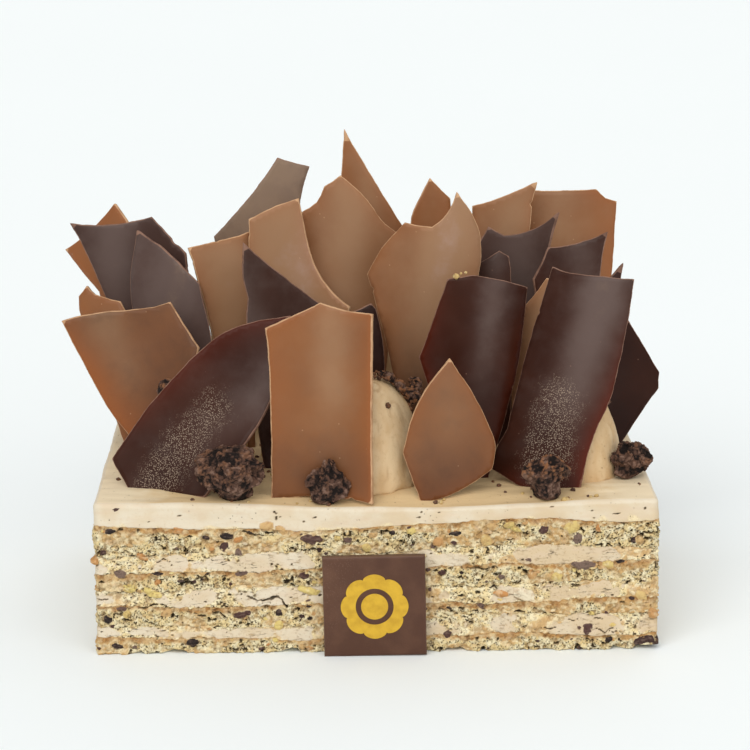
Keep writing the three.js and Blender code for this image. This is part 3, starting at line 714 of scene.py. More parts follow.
# the larger nuts and chips on the front: across, up, half length and half height in mm, and a tone, 0 to 1
frontChips = [
    (-94, 46, 2.5, 1.2, 0.1), (-97, 38, 1.4, 1.2, 0.5), (-91, 30, 2.8, 1.8, 0.9), (-96, 13, 1.8, 1.9, 0.2),
    (-93, 3, 2.5, 1.2, 0.3), (-66, 4, 2.5, 1.8, 0.0), (-91, 17, 2.1, 0.9, 0.8), (-62, 28, 1.8, 1.1, 0.0),
    (-53, 44, 3.2, 1.8, 0.1), (-54, 40, 2.1, 1.8, 0.5), (-49, 37.5, 1.8, 1.6, 0.9),
    (-23, 42.5, 4.6, 1.8, 0.7), (-48, 30, 2.8, 1.1, 0.8), (-26, 29, 2.1, 1.4, 0.6),
    (-49, 14.5, 4.2, 1.6, 0.6), (-35, 15, 1.6, 1.4, 0.3), (28, 44, 2.5, 1.1, 0.2), (59, 45, 1.8, 1.8, 0.6),
    (37, 17, 1.8, 1.4, 0.8), (25, 6.5, 1.8, 1.4, 0.6), (71, 42, 2.1, 2.5, 0.95), (73, 32, 4.2, 2.1, 0.9),
    (75, 8, 2.5, 2.5, 0.55), (95, 3.5, 4.6, 1.8, 0.4), (-10.3, 42, 1.8, 1.5, 0.8),
    (-60.6, 43.4, 1.6, 0.9, 0.3), (-44.7, 44.9, 2.2, 0.6, 0.1), (-77.8, 30.1, 2.4, 0.8, 0.3),
    (-69.9, 27.2, 2.0, 0.7, 0.3), (-41.5, 1.6, 1.3, 0.9, 0.5), (-24, 13, 1.0, 0.8, 0.1),
    (5.8, 44.6, 1.5, 1.0, 0.1), (27.3, 40.7, 1.4, 1.3, 0.5), (91, 41.2, 1.5, 1.2, 0.3),
    (86.4, 33.1, 1.6, 0.8, 0.1), (44.1, 27.8, 1.3, 1.1, 0.9), (25.5, 16.4, 1.1, 0.7, 0.1),
    (82.7, 3.8, 1.6, 1.1, 0.2), (-90.8, 54.1, 1.2, 0.8, 0.5),
]
frontNuts = [
    (-100, 35, 1.8, 2.1, 0.3), (-83, 36.5, 2.1, 1.4, 0.25), (-70, 46, 2.1, 1.1, 0.25),
    (-89, 15, 1.6, 1.6, 0.75), (-80, 23, 3.5, 1.8, 0.8), (-75, 15.5, 2.5, 1.4, 0.5),
    (-38, 47.5, 2.8, 2.1, 0.55), (-33, 46, 2.1, 1.8, 0.6), (-49, 42.5, 2.1, 1.1, 0.2),
    (-25, 23.5, 4.6, 1.8, 0.85), (-35, 10.5, 1.8, 2.1, 0.8), (22, 41, 2.1, 1.8, 0.35),
    (41, 46.5, 2.8, 1.8, 0.65), (47, 47, 2.5, 1.4, 0.75), (39, 41.5, 2.5, 2.1, 0.7),
    (44, 21.5, 3.2, 1.4, 0.1), (55, 28, 1.8, 1.6, 0.4), (52, 21, 4.6, 2.8, 1.0), (69, 46, 3.5, 2.5, 0.75),
    (82, 32, 2.1, 1.8, 0.75), (98, 13.5, 2.1, 2.1, 0.35), (93, 41, 1.8, 1.8, 0.65),
    (94, 20.5, 2.5, 1.8, 0.7), (-87.7, 24.6, 2.8, 1.8, 0.9), (-3.7, 39, 2.2, 2.0, 0.75),
    (-1.4, 43.8, 1.8, 1.2, 0.6), (12.3, 45, 1.8, 1.3, 0.8), (78.3, 45.6, 0.9, 1.4, 0.1),
    (64.1, 27.3, 2.2, 1.8, 0.75), (49, 45.6, 2.2, 1.1, 0.8),
]
frontTears = [
    [(-46, 21.4), (-42, 19.4), (-35.5, 21.2), (-32, 17.2)], [(-47, 45.3), (-40.3, 43.7)],
    [(-87, 14.7), (-81.4, 11.9), (-76.6, 10.4)], [(-64.2, 27.6), (-61, 29.1), (-60, 26.8)],
    [(-35, 53), (-34, 51.1), (-34.4, 49.3)],
]


def frontSpot(x, length):  # how far round the side a spot of the front is
    return length - (block["halfWidth"] - block["corner"] - x * mm)


def frontFinds(strip):
    for i, (x, z, half, tall, tone) in enumerate(frontChips):
        rng = np.random.default_rng(500 + i)
        stand = mm * rng.uniform(*sponge["stand"])
        strip.lump(rng, "chip", frontSpot(x, strip.length), z * mm, half * mm, tall * mm, stand, tone)
    for i, (x, z, half, tall, tone) in enumerate(frontNuts):
        rng = np.random.default_rng(600 + i)
        stand = mm * (1.8 if abs(x) > 97 else rng.uniform(0.4, 1.1))  # most at the ends, against the light
        strip.lump(rng, "nut", frontSpot(x, strip.length), z * mm, half * mm, tall * mm, stand, tone)
    for run in frontTears:
        strip.tear([(frontSpot(x, strip.length), z * mm) for x, z in run], 0.3 * mm, 0.8 * mm)


def layerPiece(name, index, kind):
    rng = np.random.default_rng(100 + index)
    place, out, along, length = planColumns()
    low, high = seamHeights(name, place, out)
    if index > 0:
        low = low - block["overlap"] + seamRough(place, index, block["seam"])
    else:
        foot = np.column_stack([place, np.zeros(len(place))])  # the ragged foot of the cake
        low = 1.5 * mm * smoothStep(0.5, 0.85, valueNoise(foot, 5 * mm, 77))
        low = low + 0.4 * mm * valueNoise(foot, 1.2 * mm, 78)
    high = high + block["overlap"] + seamRough(place, index + 1, block["seam"])
    rows = max(block["fewestRows"], int(np.mean(high - low) / block["rowStep"]))
    strip = SideStrip(place, out, along, length, low, high, rows)

    def somewhere(reach):  # a spot within so far along the side, and a height within the layer
        spot = rng.uniform(0, reach)
        share = rng.uniform(0.05, 0.95)
        return spot, np.interp(spot, along, low) + share * np.interp(spot, along, high - low)

    def scatter(lumpKind, count, sizes, reach):
        for _ in range(count):
            half = mm * rng.uniform(*sizes)
            tall = half * rng.uniform(0.45, 0.95)
            spot, level = somewhere(reach)
            stand = mm * rng.uniform(*sponge["stand"])
            strip.lump(rng, lumpKind, spot, level, half, tall, stand, rng.uniform(0.2, 1))

    unseen = length - 2 * block["halfWidth"]  # round the sides and the back
    strip.crumble(9 * index)
    if kind == "sponge":
        below = high[:, None] - strip.height
        below = below + 1.7 * mm * layeredNoise(strip.flat * (1, 1, 0.7), 4 * mm, 11, 4)
        uneven = 0.35 + 1.2 * valueNoise(strip.flat * (1, 1, 0), 22 * mm, 12 + index)
        soaked = sponge["soaked"][index // 2] * mm * uneven
        toast = smoothStep(soaked + 0.9 * mm, soaked - 0.9 * mm, below)
        strip.masks["toast"] = toast
        strip.masks["recessShade"] *= 1 - 0.7 * toast
        strip.masks["loose"] *= 1 - toast
        strip.stand *= 1 - 0.5 * toast
        scatter("nut", sponge["nuts"], sponge["nutSize"], length)
        scatter("chip", sponge["chips"], sponge["chipSize"], length)
        scatter("nut", sponge["nuts"] // 4, sponge["bigSize"], unseen)
        scatter("chip", sponge["chips"] // 4, sponge["bigSize"], unseen)
        for _ in range(sponge["tears"]):
            width = mm * rng.uniform(0.2, 0.4)
            strip.fissure(*somewhere(length), width * rng.uniform(5, 12), width, 0.7 * mm)
    else:
        patchy = valueNoise(strip.flat * (1, 1, 0.7), 9 * mm, 23 + index)
        patchy = patchy + 0.4 * layeredNoise(strip.flat, 3.5 * mm, 21, 3)
        # crumbs cling along both seams, most along the upper
        ends = 0.42 * strip.share**4 + 0.24 * (1 - strip.share) ** 6
        rough = smoothStep(filling["rough"] - 0.15, filling["rough"] + 0.15, patchy + ends)
        dragged = layeredNoise(strip.flat * (1, 1, 2.5), 8 * mm, 3, 3)
        strip.stand = strip.stand * 0.75 * rough + 0.14 * mm * dragged
        strip.masks["recessShade"] *= rough
        strip.masks["smear"] = rough
        strip.masks["torn"] = 1 - rough
        for _ in range(filling["fissures"]):
            strip.fissure(*somewhere(length), mm * rng.uniform(2, 8), mm * rng.uniform(0.1, 0.22), 0.6 * mm)
        for _ in range(filling["pits"]):
            spot, level = somewhere(length)
            strip.fissure(spot, level, mm * rng.uniform(0.5, 1.4), mm * rng.uniform(0.15, 0.35), 0.4 * mm)
        scatter("nut", filling["nuts"], sponge["nutSize"], length)
        scatter("chip", filling["chips"], sponge["chipSize"], length)
    frontFinds(strip)
    columns = len(place)
    points = strip.points().reshape(-1, 3)
    lowRing = np.arange(columns) * (rows + 1)
    middles = [(0, 0, float(low.mean()) if index else 0), (0, 0, float(high.mean()))]
    faces = stripFaces(columns, rows).tolist()
    faces += capFaces(lowRing, len(points), False).tolist()
    faces += capFaces(lowRing + rows, len(points) + 1, True).tolist()
    masks = {mask: np.append(values.reshape(-1), [0, 0]) for mask, values in strip.masks.items()}
    finish = spongeFinish if kind == "sponge" else creamFinish
    makePiece(name + "_cut", np.vstack([points, middles]), faces, finish, kind, [name], masks)


for index in range(7):
    kind = "cream" if index % 2 else "sponge"
    layerPiece(f"{kind}_{index // 2 + 1}", index, kind)


print("top cream", flush=True)
topLook = dict(
    step=0.7 * mm, rounding=1.6 * mm, roundRows=5, ripple=0.5 * mm, stroke=0.14 * mm, wander=0.5 * mm,
    pits=34, cracks=9, holeLevels=(48 * mm, 54 * mm), tanBetween=(96 * mm, 62 * mm),
)


def topCreamPiece(name):
    rng = np.random.default_rng(7)
    x, y, r = block["halfWidth"], block["halfDepth"], topLook["rounding"]
    across = np.linspace(-x + r, x - r, int(2 * x / topLook["step"]))
    back = np.linspace(-y + r, y - r, int(2 * y / topLook["step"]))
    nx, ny = len(across), len(back)
    gx, gy = np.meshgrid(across, back, indexing="ij")
    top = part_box(name)[1].z
    grid = np.dstack([gx, gy, np.full(gx.shape, top)])
    ring = [(i, 0) for i in range(nx)] + [(nx - 1, j) for j in range(1, ny)]
    ring += [(i, ny - 1) for i in range(nx - 2, -1, -1)] + [(0, j) for j in range(ny - 2, 0, -1)]
    ringIndex = np.array([i * ny + j for i, j in ring])
    inner = grid.reshape(-1, 3)[ringIndex][:, :2]
    out = np.zeros_like(inner)
    out[:, 0] = (np.abs(inner[:, 0]) > x - r - 1e-6) * np.sign(inner[:, 0])
    out[:, 1] = (np.abs(inner[:, 1]) > y - r - 1e-6) * np.sign(inner[:, 1])
    out /= np.linalg.norm(out, axis=1, keepdims=True)
    grid[..., :2] = runIn(grid[..., :2])
    grid[..., 2] -= droop(grid)
    inner = runIn(inner)
    place = inner + out * r
    low, _ = seamHeights(name, place, out)
    low = low - block["overlap"] + seamRough(place, 7, block["topSeam"])
    rows = int((top - r - low.mean()) / block["rowStep"])
    along = runLength(place)
    length = along[-1] + topLook["step"]
    front = int(np.argmin(np.abs(place[:, 0] - x + block["corner"]) + np.abs(place[:, 1] + y)))
    along = (along - along[front]) % length
    strip = SideStrip(place, out, along, length, low, top - r - droop(place), rows)
    strip.stand += 0.2 * mm * layeredNoise(strip.flat * (1, 1, 2.2), 9 * mm, 31, 3)
    strip.stand += topLook["wander"] * layeredNoise(strip.flat * (1, 1, 0), 16 * mm, 37, 3) * strip.share**2
    strip.masks["warm"] *= 0.6
    crumbed = 1 - strip.share + 0.5 * layeredNoise(strip.flat, 5 * mm, 33, 3)  # crumbs cling along the foot
    strip.masks["smear"] = 0.7 * smoothStep(0.8, 1.15, crumbed)
    strip.masks["rise"][:] = 0.5
    for _ in range(topLook["pits"]):
        spot, level = rng.uniform(0, length), rng.uniform(*topLook["holeLevels"])
        strip.fissure(spot, level, mm * rng.uniform(0.5, 1.4), mm * rng.uniform(0.2, 0.4), 0.4 * mm)
    for _ in range(topLook["cracks"]):
        spot, level = rng.uniform(0, length), rng.uniform(*topLook["holeLevels"])
        strip.fissure(spot, level, mm * rng.uniform(2, 4), mm * rng.uniform(0.12, 0.2), 0.4 * mm)
    frontFinds(strip)
    side = strip.points()
    turn = np.arange(1, topLook["roundRows"]) / topLook["roundRows"] * math.pi / 2
    rounds = []
    for angle in turn:  # the soft edge, from the side over to the top
        spot = inner + out * (r * math.cos(angle))
        rounds.append(np.column_stack([spot, top - r + r * math.sin(angle) - droop(spot)]))
    rounds = np.stack(rounds, 1)
    rounds[..., :2] += out[:, None, :] * (strip.stand[:, -1:] * np.cos(turn)[None, :])[..., None]
    ripples = layeredNoise(grid * (0.35, 1, 1), 7 * mm, 35, 2) * topLook["ripple"]
    ripples += layeredNoise(grid * (0.15, 1, 1), 2.2 * mm, 36, 2) * topLook["stroke"]  # strokes of the knife
    grid[..., 2] += ripples
    rounds[..., 2] += ripples.reshape(-1)[ringIndex][:, None] * np.sin(turn)[None, :]
    wall = np.concatenate([side, rounds], 1)
    wallRows = wall.shape[1]
    points = np.vstack([grid.reshape(-1, 3), wall.reshape(-1, 3), [(0, 0, float(low.mean()))]])
    i, j = np.meshgrid(np.arange(nx - 1), np.arange(ny - 1), indexing="ij")
    a = i * ny + j
    faces = np.stack([a, a + ny, a + ny + 1, a + 1], -1).reshape(-1, 4).tolist()
    first = nx * ny
    faces += (stripFaces(len(place), wallRows - 1) + first).tolist()
    lastRow = first + np.arange(len(place)) * wallRows + wallRows - 1
    faces += np.stack([lastRow, np.roll(lastRow, -1), np.roll(ringIndex, -1), ringIndex], -1).tolist()
    faces += capFaces(lastRow - wallRows + 1, len(points) - 1, False).tolist()
    masks = {}
    tanned = smoothStep(*topLook["tanBetween"], np.abs(grid[..., 0]))  # tanner in the middle
    over = {"top": np.ones(first), "warm": tanned.reshape(-1)}
    for mask, values in strip.masks.items():
        wide = np.concatenate([values, np.zeros((len(place), wallRows - values.shape[1]))], 1)
        masks[mask] = np.concatenate([over.get(mask, np.zeros(first)), wide.reshape(-1), [0]])
    makePiece(name + "_cut", points, faces, creamFinish, "cream", [name], masks)


topCreamPiece("cream_top")


print("piped domes", flush=True)
domeLook = dict(
    sides=110, rings=60, sunk=1.4 * mm, lump=0.95 * mm, wrinkle=0.2 * mm, crease=0.25 * mm,
    roundness=0.75, steepness=1.15, foot=0.93, pulled=(1.2 * mm, 2.4 * mm),
)


def domePiece(number):
    name = f"dome_{number}"
    low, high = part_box(name)
    middle = (low + high) / 2
    radius = max(high.x - low.x, high.y - low.y) / 2
    height = high.z - low.z
    sides, rings = domeLook["sides"], domeLook["rings"]
    angle = np.linspace(0, 2 * math.pi, sides, endpoint=False)
    climb = np.linspace(0, math.pi / 2, rings + 1)[:-1]
    outward = radius * np.cos(climb) ** domeLook["roundness"]
    outward[0] *= domeLook["foot"]
    level = height * np.sin(climb) ** domeLook["steepness"]
    ring = np.stack([np.cos(angle), np.sin(angle)], -1)
    points = np.dstack([
        middle.x + ring[:, None, 0] * outward, middle.y + ring[:, None, 1] * outward,
        np.broadcast_to(low.z - domeLook["sunk"] + level, (sides, rings)),
    ])
    push = domeLook["lump"] * layeredNoise(points, 11 * mm, 80 + number, 2)
    push += domeLook["wrinkle"] * layeredNoise(points * (1, 1, 0.45), 3 * mm, 90 + number, 3)
    fold = np.abs(layeredNoise(points * (1, 1, 0.55), 8 * mm, 95 + number, 2))
    crease = smoothStep(0.13, 0.0, fold) * smoothStep(0.5, 0.75, valueNoise(points, 9 * mm, 70 + number))
    push -= domeLook["crease"] * crease
    points[..., :2] += ring[:, None, :] * push[..., None]
    points[..., 2] += push * np.sin(climb)
    poles = [(middle.x, middle.y, low.z - domeLook["sunk"]), (middle.x, middle.y, high.z)]
    flat = keptSide(np.vstack([points.reshape(-1, 3), poles]), name)
    rows = np.arange(sides) * rings
    faces = stripFaces(sides, rings - 1).tolist()
    faces += capFaces(rows, len(flat) - 2, False).tolist()
    faces += capFaces(rows + rings - 1, len(flat) - 1, True).tolist()
    # the creases go to the piped cream as painted shade
    masks = {"recessShade": np.append(crease.reshape(-1), [0, 0])}
    makePiece(name + "_piped", flat, faces, pipedFinish, "cream", [name], masks)


def keptSide(spots, name):  # cream stops where a sheet stands in the dome, as in the solid
    tree = solidTree(name)
    kept = spots.copy()
    for i, spot in enumerate(spots):
        nearest, _, _, away = tree.find_nearest(Vector(spot))
        kept[i] = Vector(spot).lerp(nearest, float(smoothStep(*domeLook["pulled"], away)))
    return kept


for number in range(1, 10):
    domePiece(number)


print("chocolate sheets", flush=True)
sheetLook = dict(  # lengths in mm, angles in degrees
    thickness={"milk": 1.5, "dark": 1.4}, rimStep=0.6, rimLevels=(0.55, 0.0, -0.55), fill=1.5,
    keptFromRim=0.55, sharp=24, straight=1.2, softRounds=3, nibble=0.42, dent=0.32, dentSize=13,
    facing=0.45, bendScale=40,
)
# where light comes through a thin edge: direction across and up the sheet, reach in mm, strength
glows = {
    "milk_panel": [((-1, 0.4), 5, 0.45), ((1, 0), 3, 0.6)],
    "milk_left": [((-0.7, -0.7), 14, 0.85)],
    "dark_tall": [((1, -0.8), 3.5, 0.5)],
    "dark_sweep": [((-0.5, 0.8), 6, 0.3)],
    "dark_wall": [((-1, -0.2), 4, 0.4), ((1, -0.6), 3, 0.25)],
    "milk_far_right": [((1, 0), 6, 0.5)],
    "milk_far_left": [((-0.5, 0.6), 7, 0.6)],
    "milk_tall": [((-1, 0.3), 4, 0.35)],
    "milk_chip": [((0, 0), 5, 0.4)],
}
# painted sheen, a pale reflection painted on a sheet: overall, then a band on it: its strength, where its
# middle runs, its width, its slant
sheens = {
    "dark_tall": (0.1, 0.85, 5, 8, 12), "dark_wall": (0.0, 0.5, 3, 6, 10),
    "dark_sweep": (0.1, 0.5, 14, 12, 40), "dark_left": (0.4, 0.5, -14, 7, 0),
    "grey_leaf": (0.55, 0.6, -6, 8, 15), "dark_far": (1.6, 0.2, 0, 10, 0),
    "dark_triangle": (0.3, 0.5, -8, 8, -20), "dark_ridge": (0.4, 0.4, 2, 8, 0),
    "dark_slip": (0.1, 0.4, 0, 5, 0), "dark_lip": (0.12, 0.4, 6, 7, 0),
    "dark_right": (0.0, 0.0, 0, 8, 0), "milk_tall": (0.35, 0.85, 4, 9, 5),
    "milk_fold": (0.85, 0.45, -3, 9, 10), "milk_back": (0.4, 0.4, -2, 9, 5),
    "milk_spike": (0.35, 0.3, 0, 5, 0), "milk_slab": (0.5, 0.4, 0, 7, 0),
    "milk_panel": (0.05, 0.55, 3, 9, 0), "milk_leaf": (0.2, 0.2, 0, 9, 0),
    "milk_left": (0.1, 0.55, -8, 9, -20), "milk_fan": (0.4, 0.4, 4, 8, 0),
    "milk_far_right": (0.22, 0.3, -4, 9, 0), "milk_strip": (0.6, 0.4, 0, 6, 0),
}
# painted shade: how much darker a sheet is painted, overall where it is turned from the light, and towards
# its foot where shade gathers
shadeDims = {
    "milk_left": (0.42, 0.1), "milk_leaf": (0.31, 0.3), "milk_panel": (0.08, 0.28), "milk_tall": (0.0, 0.75),
    "dark_tall": (0.0, 0.3), "dark_right": (0.3, 0.2), "dark_behind": (0.5, 0.0),
}
# a line of fine beads on two of the sheets, bumps whose pale dots are painted glints: both ends and how far
# they spread, in mm
beadGlints = {
    "dark_sweep": ((-78.4, -47, 58.6), (-58, -41.3, 83.8), 8),
    "dark_tall": ((60.4, -47.4, 63.7), (66.3, -42.6, 86.7), 8.5),
}
# a side of a sheet that is chipped to a pale lip: direction across and up it, and how much wider its pale rim
# is, partly the broken edge's own colour and partly a painted highlight
lips = {"dark_tall": ((1, -0.8), 5)}
plainGlow, plainSheen, plainShadeDim = ((0, 0), 3, 0.35), (0.1, 0.2, 0, 8, 0), (0.0, 0.2)  # for the other sheets


def frontLoop(triangles, points):  # the points round a patch of triangles, in order
    edges = {(t[k], t[(k + 1) % 3]) for t in triangles.tolist() for k in range(3)}
    following = {}
    for a, b in sorted(edges):
        if (b, a) not in edges:
            following.setdefault(a, []).append(b)
    loops = []
    while following:
        start = min(following)
        loop = [start]
        while loop[-1] in following:
            ahead = following[loop[-1]].pop()
            if not following[loop[-1]]:
                del following[loop[-1]]
            if ahead == start:
                break
            loop.append(ahead)
        loops.append(loop)
    reach = [np.linalg.norm(np.diff(points[loop], axis=0), axis=1).sum() for loop in loops]
    return loops[int(np.argmax(reach))]


def thinned(loop):  # the outline without points that lie on a straight run
    kept = [p for p, q in zip(loop, np.roll(loop, 1, axis=0)) if np.linalg.norm(p - q) > 0.25]
    loop = np.array(kept)
    before, after = loop - np.roll(loop, 1, axis=0), np.roll(loop, -1, axis=0) - loop
    turn = np.arctan2(before[:, 0] * after[:, 1] - before[:, 1] * after[:, 0], np.sum(before * after, axis=1))
    keep = np.abs(turn) > math.radians(sheetLook["straight"])
    return loop[keep], turn[keep]


def softened(run):  # corners cut again and again, ends kept
    for _ in range(sheetLook["softRounds"]):
        if len(run) < 3:
            return run
        inner = np.empty((2 * (len(run) - 1), 2))
        inner[0::2] = 0.75 * run[:-1] + 0.25 * run[1:]
        inner[1::2] = 0.25 * run[:-1] + 0.75 * run[1:]
        run = np.vstack([run[:1], inner[1:-1], run[-1:]])
    return run


def brokenOutline(loop, seed):
    loop, turn = thinned(loop)
    sharp = np.nonzero(np.abs(turn) > math.radians(sheetLook["sharp"]))[0]
    runs = []
    for k, start in enumerate(sharp):
        end = sharp[(k + 1) % len(sharp)]
        count = (end - start) % len(loop) or len(loop)
        run = softened(loop[(start + np.arange(count + 1)) % len(loop)])
        steps = runLength(run)
        at = np.linspace(0, steps[-1], max(2, int(steps[-1] / sheetLook["rimStep"])), endpoint=False)
        spots = onPath(at, steps, run)
        ahead = onPath(np.minimum(at + 0.3, steps[-1]), steps, run)
        heading = (ahead - spots) / np.linalg.norm(ahead - spots, axis=1, keepdims=True)
        depth = seeded(spots, 31.7 * seed)
        bite = 0.5 + 0.9 * layeredNoise(depth, 6.5, seed, 4)
        bite += 1.8 * smoothStep(0.84, 0.97, valueNoise(depth, 3.5, seed + 3))
        bite *= smoothStep(0, 5, np.minimum(at, steps[-1] - at))  # little near a sharp tip
        inwards = np.stack([-heading[:, 1], heading[:, 0]], -1)
        runs.append(spots + sheetLook["nibble"] * bite[:, None] * inwards)
    return np.vstack(runs)


def edgeDistance(spots, ring):  # how far each spot is from the outline, and whether it is inside
    a, b = ring[None], np.roll(ring, -1, axis=0)[None]
    p = spots[:, None]
    share = np.clip(np.sum((p - a) * (b - a), -1) / np.sum((b - a) ** 2, -1), 0, 1)
    distance = np.min(np.linalg.norm(p - a - share[..., None] * (b - a), axis=-1), axis=1)
    crosses = (a[..., 1] > p[..., 1]) != (b[..., 1] > p[..., 1])
    rise = np.where(b[..., 1] == a[..., 1], 1e-9, b[..., 1] - a[..., 1])
    left = p[..., 0] < (b[..., 0] - a[..., 0]) * (p[..., 1] - a[..., 1]) / rise + a[..., 0]
    return distance, np.sum(crosses & left, axis=1) % 2 == 1


def powers(u, v):  # terms of a smooth bend
    u, v = u / sheetLook["bendScale"], v / sheetLook["bendScale"]
    return np.stack([u**i * v**j for i in range(5) for j in range(5 - i)], -1)


def spotGrid(ring, step):  # offset rows of spots over the box of an outline
    low, high = ring.min(0), ring.max(0)
    us, vs = np.arange(low[0], high[0], step), np.arange(low[1], high[1], step * 0.87)
    gu, gv = np.meshgrid(us, vs, indexing="ij")
    gu = gu + 0.5 * step * (np.arange(gu.shape[1]) % 2)
    return np.column_stack([gu.reshape(-1), gv.reshape(-1)])


def seeded(spots, level):  # flat spots at a level of their own, for noise
    return np.column_stack([spots, np.full(len(spots), level)])


def glowMask(name, kind, flat, edge):
    glow = np.zeros(len(flat))
    for direction, reach, strength in glows.get(name, [plainGlow] if kind == "milk" else []):
        along = flat @ direction
        towards = smoothStep(-0.1, 0.7, along / np.abs(along).max()) if any(direction) else 1.0
        glow = np.maximum(glow, strength * np.exp(-edge / reach) * towards)
    return glow


def beadGlintMask(name, place):
    if name not in beadGlints:
        return np.zeros(len(place))
    start, end, wide = (np.array(v, float) for v in beadGlints[name])
    share = np.clip((place - start) @ (end - start) / np.sum((end - start) ** 2), 0, 1)
    away = np.linalg.norm(place - start - share[:, None] * (end - start), axis=1)
    return np.exp(-((away / wide) ** 2)) * (0.45 + 0.55 * valueNoise(place, 3.0, 4)) * (1 - 0.35 * share)


def sheetMasks(name, kind, flat, place, edge):  # what each spot of a sheet shows
    glow = glowMask(name, kind, flat, edge)
    up = flat[:, 1] / np.abs(flat[:, 1]).max()
    overall, strength, shift, wide, slant = sheens.get(name, plainSheen)
    beside = (flat[:, 0] - math.tan(math.radians(slant)) * flat[:, 1] - shift) / wide
    sheen = overall + strength * np.exp(-(beside**2)) * smoothStep(-1.0, 0.6, up)
    dimmed, foot = shadeDims.get(name, plainShadeDim)
    shadeDim = dimmed + foot * smoothStep(0.2, -0.8, up)
    if name in lips:
        direction, wider = lips[name]
        towards = flat @ direction
        edge = edge / (1 + (wider - 1) * smoothStep(0.75, 0.95, towards / towards.max()))
    return {"edge": edge, "glow": glow, "beadGlint": beadGlintMask(name, place), "sheen": sheen, "shadeDim": shadeDim}


def sheetPiece(name, seed):
    kind = "milk" if name.startswith("milk") else "dark"
    points, triangles = mergedMesh(nodes[name])
    points = points / mm
    corners = points[triangles]
    normals = np.cross(corners[:, 1] - corners[:, 0], corners[:, 2] - corners[:, 0])
    areas = np.linalg.norm(normals, axis=1, keepdims=True)
    middle = np.average(corners.mean(1), axis=0, weights=areas[:, 0])
    spread = np.cov((corners.mean(1) - middle).T, aweights=areas[:, 0])
    face = np.linalg.eigh(spread)[1][:, 0]
    face *= -np.sign(face[1])  # towards the front
    rise = np.array([0, 0, 1.0]) - face * face[2]
    rise /= np.linalg.norm(rise)
    side = np.cross(rise, face)
    lean = (normals / np.maximum(areas, 1e-9)) @ face
    front, back = triangles[lean > sheetLook["facing"]], triangles[lean < -sheetLook["facing"]]
    centres = [points[t].mean(1) for t in (front, back)]
    sample = np.vstack(centres + [points[t].reshape(-1, 3) for t in (front, back)]) - middle
    bend = np.linalg.lstsq(powers(sample @ side, sample @ rise), sample @ face, rcond=None)[0]
    loop = points[frontLoop(front, points)] - middle
    ring = brokenOutline(np.column_stack([loop @ side, loop @ rise]), seed)
    fill = sheetLook["fill"]
    grid = spotGrid(ring, fill)
    away, inside = edgeDistance(grid, ring)
    kept = inside & (away > sheetLook["keptFromRim"] * fill)
    grid, away = grid[kept], away[kept]
    flat = np.vstack([ring, grid])
    edge = np.concatenate([np.zeros(len(ring)), away])
    made = delaunay_2d_cdt([Vector(p) for p in flat], [], [list(range(len(ring)))], 1, 1e-6)
    flat = np.array([tuple(p) for p in made[0]])
    edge = np.array([edge[came[0]] if came else 0 for came in made[3]])
    faces = np.array(made[2])
    t = flat[faces]
    area = np.cross(t[:, 1] - t[:, 0], t[:, 2] - t[:, 0])
    faces[area < 0] = faces[area < 0][:, ::-1]
    loop = np.array(frontLoop(faces, flat))

    def bulge(u, v):
        return powers(u, v) @ bend

    def onSheet(spots):  # the bent middle of the sheet, and its facing
        u, v = spots[:, 0], spots[:, 1]
        dent = sheetLook["dent"] * layeredNoise(seeded(spots, 9.1 * seed), sheetLook["dentSize"], seed, 2)
        place = middle + u[:, None] * side + v[:, None] * rise + (bulge(u, v) + dent)[:, None] * face
        slopeU = (bulge(u + 0.1, v) - bulge(u - 0.1, v)) / 0.2
        slopeV = (bulge(u, v + 0.1) - bulge(u, v - 0.1)) / 0.2
        facing = face - slopeU[:, None] * side - slopeV[:, None] * rise
        return place, facing / np.linalg.norm(facing, axis=1, keepdims=True)

    half = sheetLook["thickness"][kind] / 2
    place, facing = onSheet(flat)
    around = flat[loop]
    heading = np.roll(around, -1, axis=0) - np.roll(around, 1, axis=0)
    heading /= np.linalg.norm(heading, axis=1, keepdims=True)
    outward = np.stack([heading[:, 1], -heading[:, 0]], -1)
    rimRows = []
    for level in sheetLook["rimLevels"]:  # the broken rim, rough and slightly swollen
        rough = 0.1 + 0.09 * layeredNoise(seeded(around, level * 3), 0.9, seed + 5, 2)
        spot, normal = onSheet(around + outward * rough[:, None])
        rimRows.append(spot + normal * half * level)
    count, rim = len(flat), len(loop)
    whole = np.vstack([place + facing * half, place - facing * half, *rimRows]) * mm
    rows = [loop] + [2 * count + k * rim + np.arange(rim) for k in range(len(rimRows))] + [loop + count]
    quads = [np.stack([a, b, np.roll(b, -1), np.roll(a, -1)], -1) for a, b in zip(rows[:-1], rows[1:])]
    polygons = faces.tolist() + (faces[:, ::-1] + count).tolist() + np.vstack(quads).tolist()
    rimless = np.zeros(len(rimRows) * rim)
    both = sheetMasks(name, kind, flat, place, edge)
    masks = {maskName: np.concatenate([values, values, rimless]) for maskName, values in both.items()}
    makePiece(name + "_sheet", whole, polygons, sheetFinish[kind], kind + "_chocolate", [name], masks)


sheetNames = sorted(n for n in nodes if n.startswith(("milk_", "dark_", "grey_")))
for seed, name in enumerate(sheetNames):
    sheetPiece(name, seed + 1)


print("cocoa crumb", flush=True)
cocoa = dict(
    voxel=0.3 * mm, lumps=1.6 * mm, lumpSize=7 * mm, clumps=1.5 * mm, clumpSize=2.6 * mm, grains=0.5 * mm,
    grainSize=1.1 * mm, plainBrown=0.4,
)
tornShare = {3: 1.0, 5: 2.0, 6: 1.4}  # the lumps that are browner, over 1 on all sides


